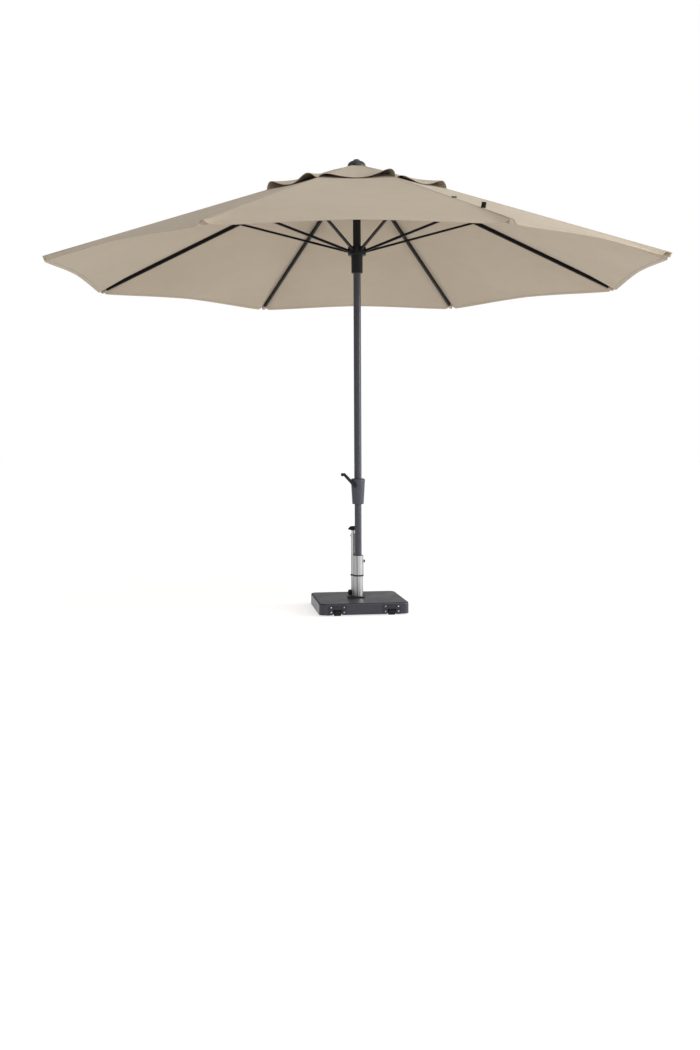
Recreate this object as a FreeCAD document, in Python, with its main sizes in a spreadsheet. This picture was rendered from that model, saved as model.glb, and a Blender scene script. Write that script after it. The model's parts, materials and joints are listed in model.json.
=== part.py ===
import FreeCAD, Part
import math
import os
import re
import Sketcher

# Eight-rib centre-pole parasol on a granite slab base. Millimetres, +Z up.
# The origin is on the ground, on the pole's axis, and the parasol stands open.
# One flat side of the octagonal canopy faces -Y.

V = FreeCAD.Vector

SIZES = {
    # Canopy frame. A rib turns on its hub pivot, a strut on its rib and on the runner.
    "rib_count": 8,
    "pivot_radius": 50.0,
    "hub_pivot_height": 2829.4,
    "link_length": 856.9,
    "link_angle": 16.87,
    "rib_drop": 43.0,
    "rib_height": 24.0,
    "rib_width": 15.0,
    "rib_wall": 1.5,
    "rib_start": 12.0,
    "rib_end": 2036.0,
    "rib_plug_depth": 40.0,
    "rib_cap_thickness": 5.0,
    "eye_radius": 9.0,
    "fitting_width": 12.0,
    "pin_radius": 3.0,
    "pin_clearance": 0.05,
    "snug_gap": 0.02,
    "hub_pin_length": 23.0,
    "strut_height": 14.0,
    "strut_width": 14.0,
    "strut_eye_radius": 7.0,
    "fork_length": 150.0,
    "fork_opening": 112.0,
    "fork_gap": 0.6,
    "fork_cheek": 2.5,
    "rivet_head_radius": 5.5,
    "rivet_head_height": 1.5,
    "rivet_head_gap": 0.3,
    # Canopy cloth, as plain thin panels over each rib.
    "canopy_radius": 2000.0,
    "canopy_opening": 430.0,
    "cloth_thickness": 1.2,
    "cloth_lift": 13.7,
    "cloth_split": 0.5,
    "hem_bow": 12.0,
    "ridge_lap": 1.5,
    "vent_radius": 615.0,
    "vent_start": 66.0,
    "vent_lift": 16.2,
    "vent_roll": 1.0,
    # Hub, runner and pole top.
    "hub_radius": 60.0,
    "hub_bottom": 2812.0,
    "hub_top": 2846.0,
    "hub_slot_floor": 2819.5,
    "hub_slot_width": 13.0,
    "slot_start": 40.0,
    "hub_socket_bottom": 2796.0,
    "hub_socket_radius": 33.0,
    "runner_radius": 59.0,
    "runner_top": 2362.0,
    "runner_step": 2307.0,
    "runner_bottom": 2192.0,
    "runner_sleeve_radius": 36.5,
    "runner_neck_radius": 37.5,
    "runner_bore_gap": 0.3,
    "runner_slot_drop": 9.0,
    "runner_slot_width": 15.0,
    "runner_lip": 4.0,
    "pole_radius": 24.0,
    "pole_bore_radius": 22.4,
    "pole_top": 2868.0,
    "plug_bottom": 2790.0,
    "pulley_height": 2826.0,
    "pulley_radius": 15.0,
    "pulley_groove": 3.0,
    "pulley_width": 8.0,
    "pulley_pin_radius": 2.5,
    "pulley_slot_width": 9.0,
    "pulley_slot_reach": 17.0,
    "dome_radius": 59.0,
    "dome_bottom": 2884.0,
    "dome_shoulder": 2902.0,
    "dome_top": 2922.0,
    "dome_wall": 4.0,
    "knob_radius": 21.0,
    "finial_top": 2933.0,
    "stem_radius": 8.0,
    "stem_bottom": 2852.0,
    # Crank housing on the pole.
    "housing_bottom": 686.0,
    "housing_top": 853.0,
    "housing_shoulder": 838.0,
    "housing_foot_radius": 37.5,
    "housing_head_radius": 46.0,
    "housing_round": 11.0,
    "cavity_bottom": 780.0,
    "cavity_top": 830.0,
    "cavity_radius": 30.0,
    "pole_lower_radius": 22.5,
    "pole_lower_bore": 20.5,
    "pole_lower_bottom": 88.5,
    "pole_lower_top": 778.0,
    "pole_upper_bottom": 832.0,
    "crank_height": 805.0,
    "crank_azimuth": 250.0,
    "crank_lean": 45.0,
    "spindle_radius": 6.0,
    "spindle_start": -19.0,
    "arm_length": 105.0,
    "arm_width": 20.0,
    "arm_inner": 50.0,
    "arm_outer": 58.0,
    "grip_pin_radius": 4.0,
    "grip_start": 58.5,
    "grip_end": 92.0,
    "grip_radius": 11.0,
    "grip_cap_radius": 6.5,
    "grip_cap_end": 95.5,
    "drum_core_radius": 16.0,
    "drum_flange_radius": 20.0,
    "drum_half_length": 17.0,
    "drum_flange": 2.5,
    # Slab, feet and wheels, in the slab's own directions.
    "slab_side": 572.0,
    "slab_bottom": 7.0,
    "slab_thickness": 72.0,
    "slab_turn": 8.0,
    "slab_edge": 11.0,
    "slab_corner": 42.0,
    "foot_radius": 22.0,
    "foot_inset": 60.0,
    "wheel_spacing": 344.0,
    "wheel_radius": 19.0,
    "wheel_width": 46.0,
    "wheel_rise": 1.0,
    "wheel_setback": 8.0,
    "wheel_round": 5.0,
    "recess_width": 64.0,
    "recess_depth": 48.0,
    "recess_height": 35.0,
    "bracket_width": 112.0,
    "bracket_height": 54.0,
    "bracket_rise": 4.0,
    "bracket_plate": 4.0,
    "bracket_window_width": 54.0,
    "bracket_window_height": 33.0,
    "bracket_ear": 3.0,
    "bracket_ear_depth": 36.0,
    "axle_radius": 5.0,
    "screw_radius": 3.0,
    "screw_length": 22.0,
    "screw_head_radius": 4.5,
    "screw_head_height": 2.5,
    "bracket_screw_x": 41.0,
    "bracket_screw_low": 24.0,
    "bracket_screw_high": 55.0,
    # Tubes on the slab.
    "plate_left": -72.0,
    "plate_right": 42.0,
    "plate_front": -44.0,
    "plate_back": 64.0,
    "plate_thickness": 9.0,
    "plate_corner": 14.0,
    "plate_screw_inset": 13.0,
    "tube_radius": 31.0,
    "tube_bore": 28.5,
    "tube_top": 350.0,
    "clamp_height": 314.0,
    "clamp_strip_bottom": 226.0,
    "clamp_strip_width": 10.0,
    "clamp_strip_reach": 34.0,
    "clamp_boss_radius": 9.0,
    "clamp_boss_reach": 35.5,
    "clamp_screw_radius": 4.0,
    "clamp_screw_tip": 23.2,
    "clamp_knob_start": 36.0,
    "clamp_knob_end": 44.5,
    "clamp_knob_radius": 10.0,
    "sleeve_bottom": 190.0,
    "sleeve_bore": 22.8,
    "sleeve_lip": 3.0,
    "handle_x": -34.0,
    "handle_y": 31.0,
    "handle_tube_radius": 14.0,
    "handle_tube_bore": 12.4,
    "handle_tube_top": 492.0,
    "handle_mouth": 8.0,
    "rod_radius": 10.0,
    "rod_gap": 0.3,
    "rod_bottom": 150.0,
    "rod_foot_height": 20.0,
    "rod_top": 526.0,
    "handle_grip_half": 36.0,
    "handle_grip_bottom": 512.0,
    "handle_grip_top": 540.0,
    "handle_grip_depth": 24.0,
    "handle_button_height": 478.0,
    "handle_button_radius": 4.8,
    "handle_button_inner": 13.7,
    "handle_button_outer": 17.4,
    "button_bore_gap": 0.1,
    "band_bottom": 221.0,
    "band_height": 9.0,
    "band_wall": 3.5,
    "foot_knob_height": 108.0,
    "foot_knob_azimuth": 206.0,
    "foot_knob_radius": 18.0,
    "foot_knob_start": 15.5,
    "foot_knob_end": 33.0,
    "foot_knob_stem": 3.5,
    "foot_knob_tip": 12.8,
}


def size(name):
    """One of the driving dimensions, as a number."""
    return SIZES[name]


def linked(text):
    """A formula in plain size names, with each name pointed at the sheet."""

    def cell(match):
        word = match.group()
        return "Sizes." + word if word in SIZES else word

    return re.sub(r"[a-z][a-z_]+", cell, str(text))


def make_sheet(doc):
    sheet = doc.addObject("Spreadsheet::Sheet", "Sizes")
    for row, (name, value) in enumerate(SIZES.items(), start=1):
        sheet.set(f"A{row}", name)
        sheet.set(f"B{row}", str(value))
        sheet.setAlias(f"B{row}", name)
    doc.recompute()
    return sheet


# Ways of making a piece.


def new_body(doc, name):
    body = doc.addObject("PartDesign::Body", name)
    body.Label = name
    return body


def origin_item(body, role):
    return next(item for item in body.Origin.OriginFeatures if item.Role == role)


def new_sketch(body, name, plane, raised="0", rolled=None):
    """A sketch on one of the body's origin planes, raised along that plane's normal."""
    sketch = body.newObject("Sketcher::SketchObject", name)
    sketch.AttachmentSupport = [(origin_item(body, plane), "")]
    sketch.MapMode = "FlatFace"
    if rolled is not None:
        sketch.AttachmentOffset = FreeCAD.Placement(V(), FreeCAD.Rotation(V(1, 0, 0), 1))
        sketch.setExpression("AttachmentOffset.Rotation.Angle", linked(rolled))
    sketch.setExpression("AttachmentOffset.Base.z", linked(raised))
    return sketch


def pin_point(sketch, edge, end, across, up):
    """Ties one end or centre of a sketch edge to its place on the sheet."""
    for kind, formula in (("DistanceX", across), ("DistanceY", up)):
        index = sketch.addConstraint(Sketcher.Constraint(kind, -1, 1, edge, end, 1.0))
        sketch.setExpression(f"Constraints[{index}]", linked(formula))


def add_outline(sketch, points):
    """A closed outline through points given as pairs of formulas."""
    first = len(sketch.Geometry)
    count = len(points)
    turn = 2 * math.pi / count
    rough = [V(10 * math.cos(i * turn), 10 * math.sin(i * turn), 0) for i in range(count)]
    for i in range(count):
        sketch.addGeometry(Part.LineSegment(rough[i], rough[(i + 1) % count]), False)
    for i in range(count):
        following = first + (i + 1) % count
        sketch.addConstraint(Sketcher.Constraint("Coincident", first + i, 2, following, 1))
    for i, (across, up) in enumerate(points):
        pin_point(sketch, first + i, 1, across, up)


def add_circle(sketch, across, up, radius):
    edge = sketch.addGeometry(Part.Circle(V(1, 1, 0), V(0, 0, 1), 1.0), False)
    index = sketch.addConstraint(Sketcher.Constraint("Radius", edge, 1.0))
    sketch.setExpression(f"Constraints[{index}]", linked(radius))
    pin_point(sketch, edge, 3, across, up)


def pad(body, name, sketch, length, midplane=False, backwards=False):
    feature = body.newObject("PartDesign::Pad", name)
    feature.Profile = sketch
    feature.setExpression("Length", linked(length))
    feature.Midplane = midplane
    feature.Reversed = backwards
    body.Tip = feature
    return feature


def pocket(body, name, sketch, length, midplane=False, backwards=False):
    feature = body.newObject("PartDesign::Pocket", name)
    feature.Profile = sketch
    feature.Type = "Length"
    feature.setExpression("Length", linked(length))
    feature.Midplane = midplane
    feature.Reversed = backwards
    body.Tip = feature
    return feature


def revolve(body, name, points, axis="V_Axis"):
    """A turned shape: the outline in radius and height, spun about an axis."""
    sketch = new_sketch(body, name + "Profile", "XZ_Plane")
    add_outline(sketch, points)
    feature = body.newObject("PartDesign::Revolution", name)
    feature.Profile = sketch
    feature.ReferenceAxis = (sketch, [axis])
    feature.Angle = 360
    body.Tip = feature
    return feature


def ring(body, name, outer, inner, low, high):
    return revolve(body, name, [(inner, low), (outer, low), (outer, high), (inner, high)])


def ring_pattern(body, name, features):
    """Repeats cuts round the pole's axis, once for each rib."""
    pattern = body.newObject("PartDesign::PolarPattern", name)
    pattern.Originals = features
    pattern.Axis = (origin_item(body, "Z_Axis"), [""])
    pattern.Angle = 360
    pattern.setExpression("Occurrences", linked("rib_count"))
    body.Tip = pattern
    return pattern


def mirror(body, name, features, plane):
    mirrored = body.newObject("PartDesign::Mirrored", name)
    mirrored.Originals = features
    mirrored.MirrorPlane = (origin_item(body, plane), [""])
    body.Tip = mirrored
    return mirrored


def dress(body, kind, name, wanted, amount):
    """A fillet or chamfer on the edges of the body's last feature that wanted picks."""
    body.Document.recompute()
    base = body.Tip
    names = [f"Edge{i}" for i, edge in enumerate(base.Shape.Edges, start=1) if wanted(edge)]
    feature = body.newObject("PartDesign::" + kind, name)
    feature.Base = (base, names)
    feature.setExpression("Radius" if kind == "Fillet" else "Size", linked(amount))
    body.Tip = feature
    return feature


def circle_at(edge, axis, place, radius):
    """Whether an edge is a circle of this radius, centred at this place along an axis."""
    if not isinstance(edge.Curve, Part.Circle):
        return False
    centre = getattr(edge.Curve.Center, axis)
    return abs(centre - place) < 0.05 and abs(edge.Curve.Radius - radius) < 0.05


def rod(doc, name, radius, length, place):
    shape = doc.addObject("Part::Cylinder", name)
    shape.setExpression("Radius", linked(radius))
    shape.setExpression("Height", linked(length))
    shape.Placement = place
    return shape


def grouped(doc, name, pieces):
    """Separate solids that share one node."""
    group = doc.addObject("Part::Compound", name)
    group.Label = name
    group.Links = pieces
    return group


def combined(doc, kind, name, pieces):
    joined = doc.addObject("Part::" + kind, name)
    joined.Shapes = pieces
    return joined


def cut(doc, name, base, tool):
    result = doc.addObject("Part::Cut", name)
    result.Label = name
    result.Base = base
    result.Tool = tool
    return result


def pointing(direction):
    """The rotation that takes +Z to a direction."""
    return FreeCAD.Rotation(V(0, 0, 1), direction)


def flat_direction(azimuth):
    angle = math.radians(azimuth)
    return V(math.cos(angle), math.sin(angle), 0)


# The canopy frame. Each rib has a frame of its own: X down along its centreline from the
# point over the hub pivot, Y across it and Z square to it.


def rib_angle():
    """How far an open rib slopes down, in degrees."""
    return size("link_angle") + math.degrees(math.asin(size("rib_drop") / size("link_length")))


def joint_reach():
    """From the rib frame's origin to the strut's pivot, along the rib."""
    return math.sqrt(size("link_length") ** 2 - size("rib_drop") ** 2)


def reach_at(radius, lift=0.0):
    """How far along the rib a point at this lift lies over this radius."""
    slope = math.radians(rib_angle())
    start = size("pivot_radius") + (size("rib_drop") + lift) * math.sin(slope)
    return (radius - start) / math.cos(slope)


def rib_azimuth(number):
    step = 360.0 / size("rib_count")
    return -90.0 + step / 2 + step * (number - 1)


def rib_place(number):
    azimuth = rib_azimuth(number)
    slope = math.radians(rib_angle())
    outward = flat_direction(azimuth)
    up = V(0, 0, 1)
    normal = outward * math.sin(slope) + up * math.cos(slope)
    pivot = outward * size("pivot_radius") + up * size("hub_pivot_height")
    turn = FreeCAD.Rotation(V(0, 0, 1), azimuth) * FreeCAD.Rotation(V(0, 1, 0), rib_angle())
    return FreeCAD.Placement(pivot + normal * size("rib_drop"), turn)


def strut_place(number):
    """X runs from the rib's pivot in and down to the runner's pivot."""
    azimuth = rib_azimuth(number)
    slope = math.radians(size("link_angle"))
    outward = flat_direction(azimuth)
    reach = size("pivot_radius") + size("link_length") * math.cos(slope)
    height = size("hub_pivot_height") - size("link_length") * math.sin(slope)
    turn = FreeCAD.Rotation(V(0, 0, 1), azimuth + 180) * FreeCAD.Rotation(
        V(0, 1, 0), size("link_angle")
    )
    return FreeCAD.Placement(outward * reach + V(0, 0, height), turn)


def make_rib(doc, number):
    body = new_body(doc, f"rib_{number}")
    section = new_sketch(body, "RibSection", "YZ_Plane", raised="rib_start")
    for inset in ("0", "rib_wall"):
        wide = f"rib_width / 2 - {inset}"
        tall = f"rib_height / 2 - {inset}"
        corners = [
            (f"-({wide})", f"-({tall})"),
            (wide, f"-({tall})"),
            (wide, tall),
            (f"-({wide})", tall),
        ]
        add_outline(section, corners)
    pad(body, "RibTube", section, "rib_end - rib_start")
    hole = new_sketch(body, "StrutHole", "XZ_Plane")
    add_circle(hole, joint_reach(), "0", "pin_radius + snug_gap")
    pocket(body, "StrutBore", hole, "rib_width + 2", midplane=True)
    body.Placement = rib_place(number)
    return body


def make_root_fitting(doc, number):
    """Plugged into the rib's inner end, with the eye that hangs on the hub's pin."""
    body = new_body(doc, f"root_fitting_{number}")
    tall = "(rib_height / 2 - rib_wall - snug_gap)"
    tongue = new_sketch(body, "Tongue", "XZ_Plane")
    add_outline(
        tongue,
        [
            ("rib_start - 3", f"-{tall}"),
            ("rib_start + rib_plug_depth", f"-{tall}"),
            ("rib_start + rib_plug_depth", tall),
            ("rib_start - 3", tall),
        ],
    )
    pad(body, "TonguePad", tongue, "rib_width - 2 * rib_wall - 2 * snug_gap", midplane=True)
    leg = new_sketch(body, "Leg", "XZ_Plane")
    add_outline(
        leg,
        [
            ("-eye_radius", "-rib_drop"),
            ("eye_radius", "-rib_drop"),
            ("rib_start - 0.2", "-rib_height / 2"),
            ("rib_start - 0.2", "rib_height / 2"),
            ("-eye_radius + 4", "rib_height / 2"),
            ("-eye_radius", "rib_height / 2 - 4"),
        ],
    )
    pad(body, "LegPad", leg, "fitting_width", midplane=True)
    eye = new_sketch(body, "Eye", "XZ_Plane")
    add_circle(eye, "0", "-rib_drop", "eye_radius")
    pad(body, "EyePad", eye, "fitting_width", midplane=True)
    bore = new_sketch(body, "EyeBore", "XZ_Plane")
    add_circle(bore, "0", "-rib_drop", "pin_radius + snug_gap")
    pocket(body, "EyeHole", bore, "fitting_width + 2", midplane=True)
    body.Placement = rib_place(number)
    return body


def make_tip_plug(doc, number):
    body = new_body(doc, f"tip_plug_{number}")
    shank = "rib_plug_depth / 2"
    for name, inset, low, length in (
        ("Shank", "rib_wall + snug_gap", f"rib_end - {shank}", f"{shank} + snug_gap"),
        ("Cap", "0", "rib_end + snug_gap", "rib_cap_thickness"),
    ):
        wide = f"(rib_width / 2 - ({inset}))"
        tall = f"(rib_height / 2 - ({inset}))"
        outline = new_sketch(body, name, "YZ_Plane", raised=low)
        add_outline(
            outline,
            [("-" + wide, "-" + tall), (wide, "-" + tall), (wide, tall), ("-" + wide, tall)],
        )
        pad(body, name + "Pad", outline, length)
    body.Placement = rib_place(number)
    return body


def make_rib_pin(doc, number, name, across, down, length):
    """A plain pin across the rib frame's Y."""
    middle = V(across, 0, -down)
    place = rib_place(number) * FreeCAD.Placement(middle, FreeCAD.Rotation(V(1, 0, 0), 90))
    place = place * FreeCAD.Placement(V(0, 0, -length / 2), FreeCAD.Rotation())
    return rod(doc, name, "pin_radius", length, place)


def make_strut_rivet(doc, number):
    """Holds the fork to the rib: a shank with a low round head at each end."""
    body = new_body(doc, f"strut_rivet_{number}")
    half = "(rib_width / 2 + fork_gap + fork_cheek + rivet_head_gap)"
    outer = f"({half} + rivet_head_height)"
    revolve(
        body,
        "Rivet",
        [
            ("0", "-" + outer),
            ("rivet_head_radius * 0.7", "-" + outer),
            ("rivet_head_radius", "-" + half),
            ("pin_radius", "-" + half),
            ("pin_radius", half),
            ("rivet_head_radius", half),
            ("rivet_head_radius * 0.7", outer),
            ("0", outer),
        ],
    )
    across = FreeCAD.Placement(V(joint_reach(), 0, 0), FreeCAD.Rotation(V(1, 0, 0), 90))
    body.Placement = rib_place(number) * across
    return body


def make_rib_fittings(doc, number):
    pin = make_rib_pin(
        doc, number, f"hub_pin_{number}", 0.0, size("rib_drop"), size("hub_pin_length")
    )
    pieces = [make_root_fitting(doc, number), pin]
    pieces += [make_tip_plug(doc, number), make_strut_rivet(doc, number)]
    return grouped(doc, f"rib_fittings_{number}", pieces)


def make_strut_bar(doc, number):
    """A solid-looking stay: a fork that straddles the rib, a bar and an inner eye."""
    body = new_body(doc, f"strut_bar_{number}")
    fork_half = "(rib_width / 2 + fork_gap + fork_cheek)"
    bar = new_sketch(body, "Bar", "XZ_Plane")
    add_outline(
        bar,
        [
            ("fork_opening", "-strut_height / 2"),
            ("link_length", "-strut_height / 2"),
            ("link_length", "strut_height / 2"),
            ("fork_opening", "strut_height / 2"),
        ],
    )
    pad(body, "BarPad", bar, "strut_width", midplane=True)
    fork = new_sketch(body, "Fork", "XZ_Plane")
    add_outline(
        fork,
        [
            ("0", "-strut_height / 2"),
            ("fork_length", "-strut_height / 2"),
            ("fork_length", "strut_height / 2"),
            ("0", "strut_height / 2"),
        ],
    )
    pad(body, "ForkPad", fork, f"2 * {fork_half}", midplane=True)
    nose = new_sketch(body, "Nose", "XZ_Plane")
    add_circle(nose, "0", "0", "strut_height / 2")
    pad(body, "NosePad", nose, f"2 * {fork_half}", midplane=True)
    gap = new_sketch(body, "Gap", "XZ_Plane")
    add_outline(
        gap,
        [
            ("-strut_height", "-strut_height"),
            ("fork_opening", "-strut_height"),
            ("fork_opening", "strut_height"),
            ("-strut_height", "strut_height"),
        ],
    )
    pocket(body, "ForkGap", gap, "rib_width + 2 * fork_gap", midplane=True)
    eye = new_sketch(body, "Eye", "XZ_Plane")
    add_circle(eye, "link_length", "0", "strut_eye_radius")
    pad(body, "EyePad", eye, "strut_width", midplane=True)
    bores = new_sketch(body, "Bores", "XZ_Plane")
    add_circle(bores, "0", "0", "pin_radius + pin_clearance")
    pocket(body, "RivetBore", bores, f"2 * {fork_half} + 2", midplane=True)
    inner = new_sketch(body, "InnerBore", "XZ_Plane")
    add_circle(inner, "link_length", "0", "pin_radius + snug_gap")
    pocket(body, "PinBore", inner, "strut_width + 2", midplane=True)
    body.Placement = strut_place(number)
    return body


def make_strut(doc, number):
    """The bar and the pin that joins it to the runner."""
    length = size("hub_pin_length")
    middle = FreeCAD.Placement(V(size("link_length"), 0, 0), FreeCAD.Rotation(V(1, 0, 0), 90))
    place = strut_place(number) * middle
    place = place * FreeCAD.Placement(V(0, 0, -length / 2), FreeCAD.Rotation())
    pin = rod(doc, f"runner_pin_{number}", "pin_radius", "hub_pin_length", place)
    return grouped(doc, f"strut_{number}", [make_strut_bar(doc, number), pin])


def gore_slope(roll):
    """Tangent of the angle between a rib and the middle of its gore, in a panel's plane."""
    slope = math.radians(rib_angle())
    half = math.tan(math.pi / size("rib_count"))
    lean = math.radians(roll)
    return half * math.cos(slope) / (math.cos(lean) + half * math.sin(slope) * math.sin(lean))


def cloth_roll():
    """How far each side of a flat gore leans down from its rib, in degrees."""
    slope = math.radians(rib_angle())
    half = math.cos(math.pi / size("rib_count"))
    length = math.hypot(math.sin(slope), math.cos(slope) * half)
    return math.degrees(math.acos(half / length))


def make_panel(doc, name, number, inner, outer, lift, roll, bow):
    """Two half gores that meet over a rib, as one thin folded panel."""
    body = new_body(doc, name)
    apex = reach_at(0.0, lift)
    start = reach_at(inner, lift)
    end = reach_at(outer, lift)
    spread = gore_slope(roll)
    lean = math.radians(rib_angle())
    half_turn = math.pi / size("rib_count")
    back = math.sin(half_turn) ** 2 * math.cos(lean) * outer
    trim = size("cloth_split")
    edge = end - back - bow
    points = [
        (start, "-ridge_lap"),
        (end, "-ridge_lap"),
        (end, 0.0),
        (edge, (edge - apex) * spread - trim),
        (start, (start - apex) * spread - trim),
    ]
    sketch = new_sketch(body, "HalfGore", "XY_Plane", raised=lift, rolled=-roll)
    add_outline(sketch, points)
    half_panel = pad(body, "HalfPanel", sketch, "cloth_thickness")
    mirror(body, "OtherHalf", [half_panel], "XZ_Plane")
    body.Placement = rib_place(number)
    return body


def make_canopy(doc, number):
    """One rib's share of the cloth: the main panel and the vent flap over it."""
    main = make_panel(
        doc,
        f"main_panel_{number}",
        number,
        size("canopy_opening"),
        size("canopy_radius"),
        size("cloth_lift"),
        cloth_roll(),
        size("hem_bow"),
    )
    vent = make_panel(
        doc,
        f"vent_flap_{number}",
        number,
        size("vent_start"),
        size("vent_radius"),
        size("vent_lift"),
        size("vent_roll"),
        0.0,
    )
    return grouped(doc, f"canopy_{number}", [main, vent])


# The hub, the runner and the pole.


def slot_and_bore(body, slot_low, slot_high, pivot, width, reach):
    """A slot for one eye and the bore for its pin, repeated round the ring."""
    slot = new_sketch(body, "Slot", "XZ_Plane")
    add_outline(
        slot,
        [
            ("slot_start", slot_low),
            (reach, slot_low),
            (reach, slot_high),
            ("slot_start", slot_high),
        ],
    )
    slot_cut = pocket(body, "SlotCut", slot, width, midplane=True)
    bore = new_sketch(body, "PinBore", "XZ_Plane")
    add_circle(bore, "pivot_radius", pivot, "pin_radius + pin_clearance")
    bore_cut = pocket(body, "PinHole", bore, "hub_pin_length + 0.6", midplane=True)
    ring_pattern(body, "AllSlots", [slot_cut, bore_cut])


def make_hub(doc):
    body = new_body(doc, "hub")
    revolve(
        body,
        "Crown",
        [
            ("pole_radius + snug_gap", "hub_socket_bottom"),
            ("hub_socket_radius", "hub_socket_bottom"),
            ("hub_socket_radius", "hub_bottom"),
            ("hub_radius - 4", "hub_bottom"),
            ("hub_radius", "hub_bottom + 4"),
            ("hub_radius", "hub_top - 3"),
            ("hub_radius - 3", "hub_top"),
            ("pole_radius + snug_gap", "hub_top"),
        ],
    )
    slot_and_bore(
        body,
        "hub_slot_floor",
        "hub_top + 5",
        "hub_pivot_height",
        "hub_slot_width",
        "hub_radius + 5",
    )
    # The slots' first one lies on +X, and the first rib half a step off the flat side.
    body.Placement = FreeCAD.Placement(V(), FreeCAD.Rotation(V(0, 0, 1), rib_azimuth(1)))
    return body


def make_runner(doc):
    body = new_body(doc, "runner")
    pivot = "(hub_pivot_height - 2 * link_length * sin(link_angle))"
    revolve(
        body,
        "Slider",
        [
            ("pole_radius + runner_bore_gap", "runner_bottom"),
            ("runner_sleeve_radius - 1.5", "runner_bottom"),
            ("runner_sleeve_radius", "runner_bottom + 1.5"),
            ("runner_neck_radius", "runner_step"),
            ("runner_radius - 2", "runner_step"),
            ("runner_radius", "runner_step + 2"),
            ("runner_radius", "runner_top - 3"),
            ("runner_radius - 3", "runner_top"),
            ("runner_neck_radius", "runner_top"),
            ("runner_neck_radius", "runner_top + runner_lip"),
            ("pole_radius + runner_bore_gap", "runner_top + runner_lip"),
        ],
    )
    slot_and_bore(
        body,
        f"{pivot} - runner_slot_drop",
        "runner_top + 5",
        pivot,
        "runner_slot_width",
        "runner_radius + 5",
    )
    body.Placement = FreeCAD.Placement(V(), FreeCAD.Rotation(V(0, 0, 1), rib_azimuth(1)))
    return body


def make_top_plug(doc):
    """Closes the pole, carries the lift cord's pulley and takes the finial's stem."""
    body = new_body(doc, "top_plug")
    revolve(
        body,
        "Plug",
        [
            ("0", "plug_bottom"),
            ("pole_bore_radius - snug_gap", "plug_bottom"),
            ("pole_bore_radius - snug_gap", "pole_top"),
            ("stem_radius + snug_gap", "pole_top"),
            ("stem_radius + snug_gap", "stem_bottom"),
            ("0", "stem_bottom"),
        ],
    )
    slot = new_sketch(body, "PulleySlot", "XZ_Plane")
    add_outline(
        slot,
        [
            ("-pulley_slot_reach", "plug_bottom - 1"),
            ("pulley_slot_reach", "plug_bottom - 1"),
            ("pulley_slot_reach", "pulley_height + pulley_slot_reach"),
            ("-pulley_slot_reach", "pulley_height + pulley_slot_reach"),
        ],
    )
    pocket(body, "PulleyRoom", slot, "pulley_slot_width", midplane=True)
    pin = new_sketch(body, "PulleyPin", "XZ_Plane")
    add_circle(pin, "0", "pulley_height", "pulley_pin_radius")
    pad(body, "PinPad", pin, "pulley_slot_width + 4", midplane=True)
    return body


def make_pulley(doc):
    body = new_body(doc, "cord_pulley")
    half = "(pulley_width / 2)"
    revolve(
        body,
        "Wheel",
        [
            ("pulley_pin_radius + pin_clearance", "-" + half),
            ("pulley_radius", "-" + half),
            ("pulley_radius - pulley_groove", "-" + half + " * 0.3"),
            ("pulley_radius - pulley_groove", half + " * 0.3"),
            ("pulley_radius", half),
            ("pulley_pin_radius + pin_clearance", half),
        ],
    )
    body.Placement = FreeCAD.Placement(
        V(0, 0, size("pulley_height")), FreeCAD.Rotation(V(1, 0, 0), 90)
    )
    return body


def make_finial(doc):
    """The cap that screws into the pole's top, a dome with a raised knob."""
    body = new_body(doc, "finial")
    revolve(
        body,
        "Dome",
        [
            ("0", "stem_bottom + 1"),
            ("stem_radius", "stem_bottom + 1"),
            ("stem_radius", "dome_shoulder"),
            ("dome_radius - 2.5 * dome_wall", "dome_shoulder - 3"),
            ("dome_radius - dome_wall", "dome_bottom"),
            ("dome_radius", "dome_bottom"),
            ("dome_radius", "dome_bottom + 8"),
            ("dome_radius - 2.5", "dome_shoulder"),
            ("dome_radius - 6", "dome_shoulder + 6"),
            ("dome_radius - 12", "dome_top - 8"),
            ("dome_radius - 21", "dome_top - 3"),
            ("knob_radius + 6", "dome_top"),
            ("knob_radius", "dome_top + 1"),
            ("knob_radius", "finial_top - 4"),
            ("knob_radius - 5", "finial_top"),
            ("0", "finial_top"),
        ],
    )
    return body


def make_pole_upper(doc):
    body = new_body(doc, "pole_upper")
    ring(body, "Tube", "pole_radius", "pole_bore_radius", "pole_upper_bottom", "pole_top")
    return body


def make_pole_lower(doc):
    body = new_body(doc, "pole_lower")
    ring(
        body,
        "Tube",
        "pole_lower_radius",
        "pole_lower_bore",
        "pole_lower_bottom",
        "pole_lower_top",
    )
    return body


# The crank. Its own frame has X out along the spindle and Z along the arm.


def crank_place():
    outward = flat_direction(size("crank_azimuth"))
    across = V(0, 0, 1).cross(outward)
    lean = math.radians(size("crank_lean"))
    along = V(0, 0, 1) * math.cos(lean) - across * math.sin(lean)
    side = along.cross(outward)
    turn = FreeCAD.Rotation(outward, side, along, "XZY")
    return FreeCAD.Placement(V(0, 0, size("crank_height")), turn)


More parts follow.
